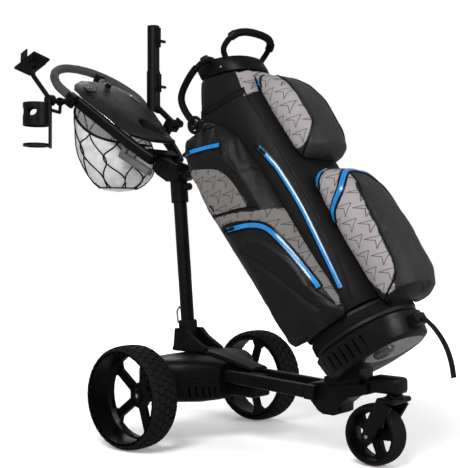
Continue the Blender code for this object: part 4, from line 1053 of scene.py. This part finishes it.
def side_pocket(label, side, trunk_tree):
    piece = puffed("pocket_side_" + label, "side_pocket_" + label, trunk_tree, 0.009)
    relief(piece.data, 0.0024, 10.0, 5.0 + side)
    tree = surface_of(piece)
    band_top = side_line(BAND_TOP, tree, side)
    fold = side_line(LOWER_FOLD, tree, side)
    zip_bed = side_line(CURVED_ZIP, tree, side)
    groove(piece, [band_top[0], zip_bed[0], side_line(POCKET_TOP, tree, side)[0]], 0.008, 0.0022)
    groove(piece, [fold[0]], 0.012, 0.0042)
    groove(piece, [side_line(FOLD_RIDGE, tree, side)[0]], 0.010, -0.0040)

    def within(outline):
        return lambda up, front, across: abs(across) > 0.130 and inside(outline, up, front)

    # The grey panels here take the darker copy of the grey print, which is painted shade.
    paint(piece, [
        (within(rounded_outline(GREY_PANEL)), "fabric_grey_painted_shade"),
        (within(rounded_outline(GREY_BAND)), "fabric_grey_painted_shade"),
        (below_zip, "fabric_black"),
        (lambda up, front, across: True, "fabric_charcoal_deep"),
    ])
    tree = surface_of(piece)
    name = "side_" + label
    piping(f"{name}_top_piping", side_line(POCKET_TOP, tree, side), 0.0020)
    piping(f"{name}_band_piping", side_line(BAND_TOP, tree, side), 0.0018)
    piping(f"{name}_panel_piping", side_line(GREY_PANEL[1:7], tree, side), 0.0014)
    zip_line(f"{name}_straight_zip", side_line(STRAIGHT_ZIP, tree, side), tape=0.0092, teeth=0.0058)
    zip_line(f"{name}_curved_zip", side_line(CURVED_ZIP, tree, side), tape=0.0125, teeth=0.0058)
    stitches(f"{name}_fold_stitches", side_line(LOWER_FOLD, tree, side, 16))
    beside = [(u - 0.008, n - 0.004) for u, n in POCKET_TOP[1:-1]]
    stitches(f"{name}_top_stitches", side_line(beside, tree, side, 16))
    return piece


def bag():
    trunk_piece = trunk()
    trunk_tree = surface_of(trunk_piece)
    rounded("bag_base", "fabric_black", 0.0020)
    for label, side in SIDES:
        side_pocket(label, side, trunk_tree)
        zip_line(f"long_zip_{label}", side_line(LONG_ZIP, trunk_tree, side), tape=0.0095, teeth=0.0050)
        piping(f"trunk_piping_{label}", side_line(TRUNK_SEAM, trunk_tree, side), 0.0026)
        places, normals = side_line(STRAP_BAND, trunk_tree, side)
        swept(f"cuff_band_{label}", places, normals, flat_section(0.0115, 0.0022), "webbing_black", "bag")
        stitches(f"cuff_stitches_{label}", (places, normals), offset=0.0085, lift=0.0026)
        carry_ring(label, side)
        cuff_strip(label, side, trunk_tree)
    ball = front_pocket("pocket_ball", "ball_pocket", BALL_SEAM, trunk_tree, 0.009)
    lower = front_pocket("pocket_lower", "front_pocket_lower", LOWER_SEAM, trunk_tree, 0.010)
    zip_line("ball_zip", near_line(both_ways(BALL_ZIP), surface_of(ball)), tape=0.0100, teeth=0.0060)
    lower_tree = surface_of(lower)
    zip_line("lower_zip", near_line(both_ways(LOWER_ZIP), lower_tree), tape=0.0115, teeth=0.0062)
    zip_line("lower_top_zip", near_line(both_ways(TOP_ZIP), lower_tree), tape=0.0095, teeth=0.0052)
    grips()
    base_strap()


def cuff_strip(label, side, tree):
    """Patterned strip of the trunk's front corner, from the rim down to the ball pocket."""
    made = bmesh.new()
    rows = []
    levels = 14
    for k in range(levels + 1):
        t = k / levels
        up = 0.846 - 0.125 * t
        start, end = math.radians(52 + 8 * t), math.radians(-10)
        row = []
        for i in range(13):
            angle = start + (end - start) * i / 12
            middle = bag_point(up, 0.02, 0)
            out = BAG_FRONT * math.cos(angle) + LEFT * side * math.sin(angle)
            hit, normal, _, _ = tree.ray_cast(middle + out * 0.3, -out)
            if hit is None:
                hit, normal = middle + out * 0.1, out
            row.append(made.verts.new(hit + normal * 0.0014))
        rows.append(row)
    skin(made, rows, False)
    mesh = finished(made, "cuff_strip_" + label)
    face_away(mesh, bag_point(0.8))
    piece = place_piece("cuff_strip_" + label, mesh, "fabric_grey", None, 0)
    thicken(piece, 0.0012, -1.0)
    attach(piece, "bag")


def carry_ring(label, side):
    """Moulded ring and clip at the back of the side pocket's top, for a towel or an umbrella strap."""
    centre = bag_point(0.742, -0.074, side * 0.158)
    ring = []
    for i in range(28):
        c, s = math.cos(2 * math.pi * i / 28), math.sin(2 * math.pi * i / 28)
        ring.append(centre + BAG_UP * 0.021 * s + BAG_FRONT * 0.021 * c + LEFT * side * 0.002 * s)
    pipe("carry_ring_" + label, ring, 0.0055, "webbing_black", "bag", 10, closed=True)
    inner = [centre + LEFT * side * 0.003 + BAG_UP * 0.010 * math.sin(a) + BAG_FRONT * 0.010 * math.cos(a)
             for a in (2 * math.pi * i / 20 for i in range(20))]
    pipe("carry_coil_" + label, inner, 0.0050, "piping_black", "bag", 8, closed=True)


def grips():
    """Padded sleeves on the three moulded handles, the blocks where they meet, and the rivets below."""
    front = smooth_path([bag_point(*p) for p in (
        (0.880, 0.068, -0.072), (0.900, 0.090, -0.092), (0.910, 0.130, -0.088), (0.914, 0.150, -0.056),
        (0.917, 0.154, 0.0), (0.914, 0.150, 0.056), (0.910, 0.130, 0.088), (0.900, 0.090, 0.092),
        (0.880, 0.068, 0.072),
    )], 6)
    pipe("front_grip", front[14:35], 0.0112, "foam_black", "bag", 14)
    for label, side in SIDES:
        path = smooth_path([bag_point(u, n, side * y) for u, n, y in (
            (0.882, 0.040, 0.078), (0.905, 0.034, 0.102), (0.904, -0.006, 0.116), (0.893, -0.056, 0.118),
            (0.872, -0.100, 0.115), (0.835, -0.114, 0.110), (0.785, -0.110, 0.102), (0.720, -0.088, 0.090),
        )], 6)
        pipe(f"side_grip_{label}", path[12:36], 0.0106, "foam_black", "bag", 14)
        for i, at in enumerate((7, 38)):
            collar = path[at - 1:at + 3]
            pipe(f"side_collar_{label}_{i}", collar, 0.0128, "casing_black", "bag", 12)
        for i, at in enumerate((11, len(front) - 14)):
            collar = front[at:at + 4]
            if side < 0:
                pipe(f"front_collar_{i}", collar, 0.0128, "casing_black", "bag", 12)
        for i, (up, n, y) in enumerate(((0.863, 0.051, 0.0885), (0.845, -0.030, 0.088))):
            hub = bag_point(up, n, side * y)
            out = (LEFT * side + BAG_FRONT * (0.3 if i == 0 else -0.4)).normalized()
            made = bmesh.new()
            bmesh.ops.create_cone(
                made, cap_ends=True, segments=16, radius1=0.0040, radius2=0.0028, depth=0.0030,
            )
            mesh = finished(made, "rivet", False)
            mesh.transform(facing(hub + out * 0.0012, out))
            place_piece(f"rivet_{label}_{i}", mesh, "steel", "bag")


def base_strap():
    """Webbing round the bag's foot, and the tray strap's free tail."""
    path, normals = [], []
    for i in range(61):
        angle = math.radians(-150 + 300 * i / 60)
        out = BAG_FRONT * math.cos(angle) + LEFT * math.sin(angle)
        path.append(bag_point(0.028) + out * 0.1436)
        normals.append(out)
    webbing = swept("base_webbing", path, normals, flat_section(0.0125, 0.0020), "webbing_black", "bag")
    tail = rounded("strap_tail", "webbing_black", 0.0004, 1)


def console_line(points, tree, above=0.2):
    """A line given by (along, side) on the handle, laid on what it meets from above."""
    down = handle_point(0, 0, 0) - handle_point(0, 0, 1)
    starts = [handle_point(p.x, p.y, above) for p in smooth_path([(a, b, 0) for a, b in points], 8)]
    return even(*on_surface(tree, starts, down))


def oval_ring(along, side, half_along, half_side, turn=0.0, count=40):
    """Points round an oval on the handle's plane."""
    ring = []
    for i in range(count + 1):
        angle = 2 * math.pi * i / count
        a, b = half_along * math.cos(angle), half_side * math.sin(angle)
        c, s = math.cos(turn), math.sin(turn)
        ring.append((along + a * c - b * s, side + a * s + b * c))
    return ring


def disc_on(name, along, side, half_along, half_side, turn, tree, high, material, body):
    """A low domed pad on the console, with an oval edge."""
    down = handle_point(0, 0, 0) - handle_point(0, 0, 1)
    made = bmesh.new()
    rings = []
    dome = ((1.0, -0.0015), (1.0, high * 0.45), (0.93, high * 0.85), (0.72, high), (0.36, high * 1.06))
    for share, lift in dome:
        points = oval_ring(along, side, half_along * share, half_side * share, turn)[:-1]
        ring = []
        for a, b in points:
            hit, normal, _, _ = tree.ray_cast(handle_point(a, b, 0.2), down)
            ring.append(made.verts.new((hit if hit else handle_point(a, b, 0.03)) - down * lift))
        rings.append(ring)
    skin(made, rings)
    made.faces.new(rings[-1])
    made.faces.new(rings[0][::-1])
    mesh = finished(made, name)
    return place_piece(name, mesh, material, body, 40)


def console_details(pieces):
    """Trim, seams, the opening's lip and the button pad of the handle's console."""
    cover = surface_of(pieces["console_cover"])
    for label, side in SIDES:
        bar = surface_of(pieces["side_bar_" + label])
        trim = console_line([(0.309, side * 0.1500), (0.245, side * 0.1310), (0.170, side * 0.1085)], bar)
        swept("bar_trim_" + label, *trim, flat_section(0.0011, 0.0009), "silver", "handle")
    seam = [(0.401, -0.068), (0.350, -0.076), (0.304, -0.083), (0.250, -0.084), (0.211, -0.082),
            (0.196, -0.070), (0.194, -0.048), (0.190, -0.032)]
    for label, side in (("right", 1), ("left", -1)):
        line = console_line([(a, side * b) for a, b in seam], cover)
        swept("console_seam_" + label, *line, flat_section(0.0011, 0.0003, -0.0008), "piping_black", "handle")
    lip = console_line(oval_ring(0.122, 0.0, 0.0640, 0.0435), cover)
    lip_section = round_section(0.0016, 8, 0.0002)
    swept("opening_lip", lip[0][:-1], lip[1][:-1], lip_section, "console_grey", "handle", closed=True)
    disc_on("button_pad_left", 0.3400, 0.1010, 0.0250, 0.0120, -0.18, cover, 0.0022, "gloss_black", "handle")


def caster_collar():
    """Turned collar round the king pin, between the neck and the fork's crown."""
    pin = Vector(JOINTS["caster_swivel"]["pos_m"])
    crown, neck = pin.z + 0.0140, pin.z + 0.0230
    made = bmesh.new()
    profile = [(0.0090, crown + 0.0002), (0.0240, crown + 0.0002), (0.0250, crown + 0.0010),
               (0.0225, crown + 0.0040), (0.0190, neck - 0.0008), (0.0090, neck - 0.0004)]
    rows = []
    for i in range(40):
        c, s = math.cos(2 * math.pi * i / 40), math.sin(2 * math.pi * i / 40)
        rows.append([made.verts.new((pin.x + r * c, pin.y + r * s, z)) for r, z in profile])
    turned(made, rows)
    mesh = finished(made, "caster_collar")
    place_piece("caster_collar", mesh, "frame_black", "caster_fork", 40)


NET_MOUTH = 0.134  # half width of the mouth, across and along the handle
NET_BOTTOM = (-0.362, 0, 0.742)
LACE_R = 0.0023
NET_RINGS = ((0.0, 1.0), (0.10, 1.025), (0.22, 1.04), (0.34, 1.04), (0.45, 1.03), (0.57, 0.99), (0.68, 0.92),
             (0.78, 0.82), (0.87, 0.68), (0.93, 0.53), (0.97, 0.38), (0.985, 0.20), (0.99, 0.05))


def net_place(angle, depth):
    """A point on the net, round its mouth and down towards its bottom."""
    power = 2 / 2.3
    c, s = math.cos(angle), math.sin(angle)
    along = NET_MOUTH * math.copysign(abs(c) ** power, c)
    across = NET_MOUTH * math.copysign(abs(s) ** power, s)
    mouth = handle_point(0.276 + along, across, -0.032 - 0.030 * (across / NET_MOUTH) ** 2)
    centre = handle_point(0.276, 0, -0.046)
    bottom = ORIGIN + Vector(NET_BOTTOM)
    flat = bottom + Vector((-0.138 * c, 0.112 * s, 0))
    wide = NET_RINGS[-1][1]
    for (low, a), (high, b) in zip(NET_RINGS, NET_RINGS[1:]):
        if low <= depth <= high:
            wide = a + (b - a) * (depth - low) / (high - low)
            break
    middle = centre.lerp(bottom, depth)
    out = mouth.lerp(flat, depth) - middle
    fold = 0.0022 * math.sin(9 * angle + 5 * depth) * math.sin(math.pi * min(1.0, depth * 1.02))
    return middle + out * (wide + (fold - 0.0020) / max(out.length, 0.01))


def net():
    """Knitted catch-all under the console, drawn as hung, with its rim cord and its laced elastic cords."""
    made = bmesh.new()
    count, levels = 108, 44
    rows = [
        [made.verts.new(net_place(2 * math.pi * i / count, 0.99 * k / levels)) for i in range(count)]
        for k in range(levels + 1)
    ]
    skin(made, rows)
    made.faces.new(rows[-1])
    mesh = finished(made, "net")
    piece = place_piece("net_mesh", mesh, "net_grey", None, 0)
    mesh.shade_smooth()
    thicken(piece, 0.0008, 0.0)
    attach(piece, "handle")
    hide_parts("console_net")

    def over(angle, depth, lift=0.0016):
        place = net_place(angle, depth)
        inner = ORIGIN + Vector(NET_BOTTOM) + Vector((0, 0, 0.10))
        return place + (place - inner).normalized() * lift

    rim = [over(2 * math.pi * i / 72, 0.004, 0.0) for i in range(72)]
    cords = [pipe("net_rim_cord", rim, 0.0042, "cord_black", "handle", 10, closed=True)]
    loops = 9
    for k in range(loops):
        base = 2 * math.pi * (k + 0.35) / loops
        for way in (-1, 1):
            path = []
            for i in range(41):
                depth = 0.005 + 0.93 * i / 40
                swing = math.pi / loops * (0.5 - 0.5 * math.cos(2 * math.pi * depth * 1.25))
                path.append(over(base + way * swing * 1.05 + 0.05 * math.sin(7 * depth + k), depth))
            name = f"net_cord_{k}_{'a' if way < 0 else 'b'}"
            cords.append(pipe(name, path, LACE_R, "cord_black", "handle", 7))
    ring = [over(2 * math.pi * i / 60 + 0.03 * math.sin(i), 0.935) for i in range(60)]
    cords.append(pipe("net_foot_cord", ring, LACE_R, "cord_black", "handle", 7, closed=True))


build_materials()
build_stage()
shown = hard_parts()
console_details(shown)
caster_collar()
wheels()
bag()
net()
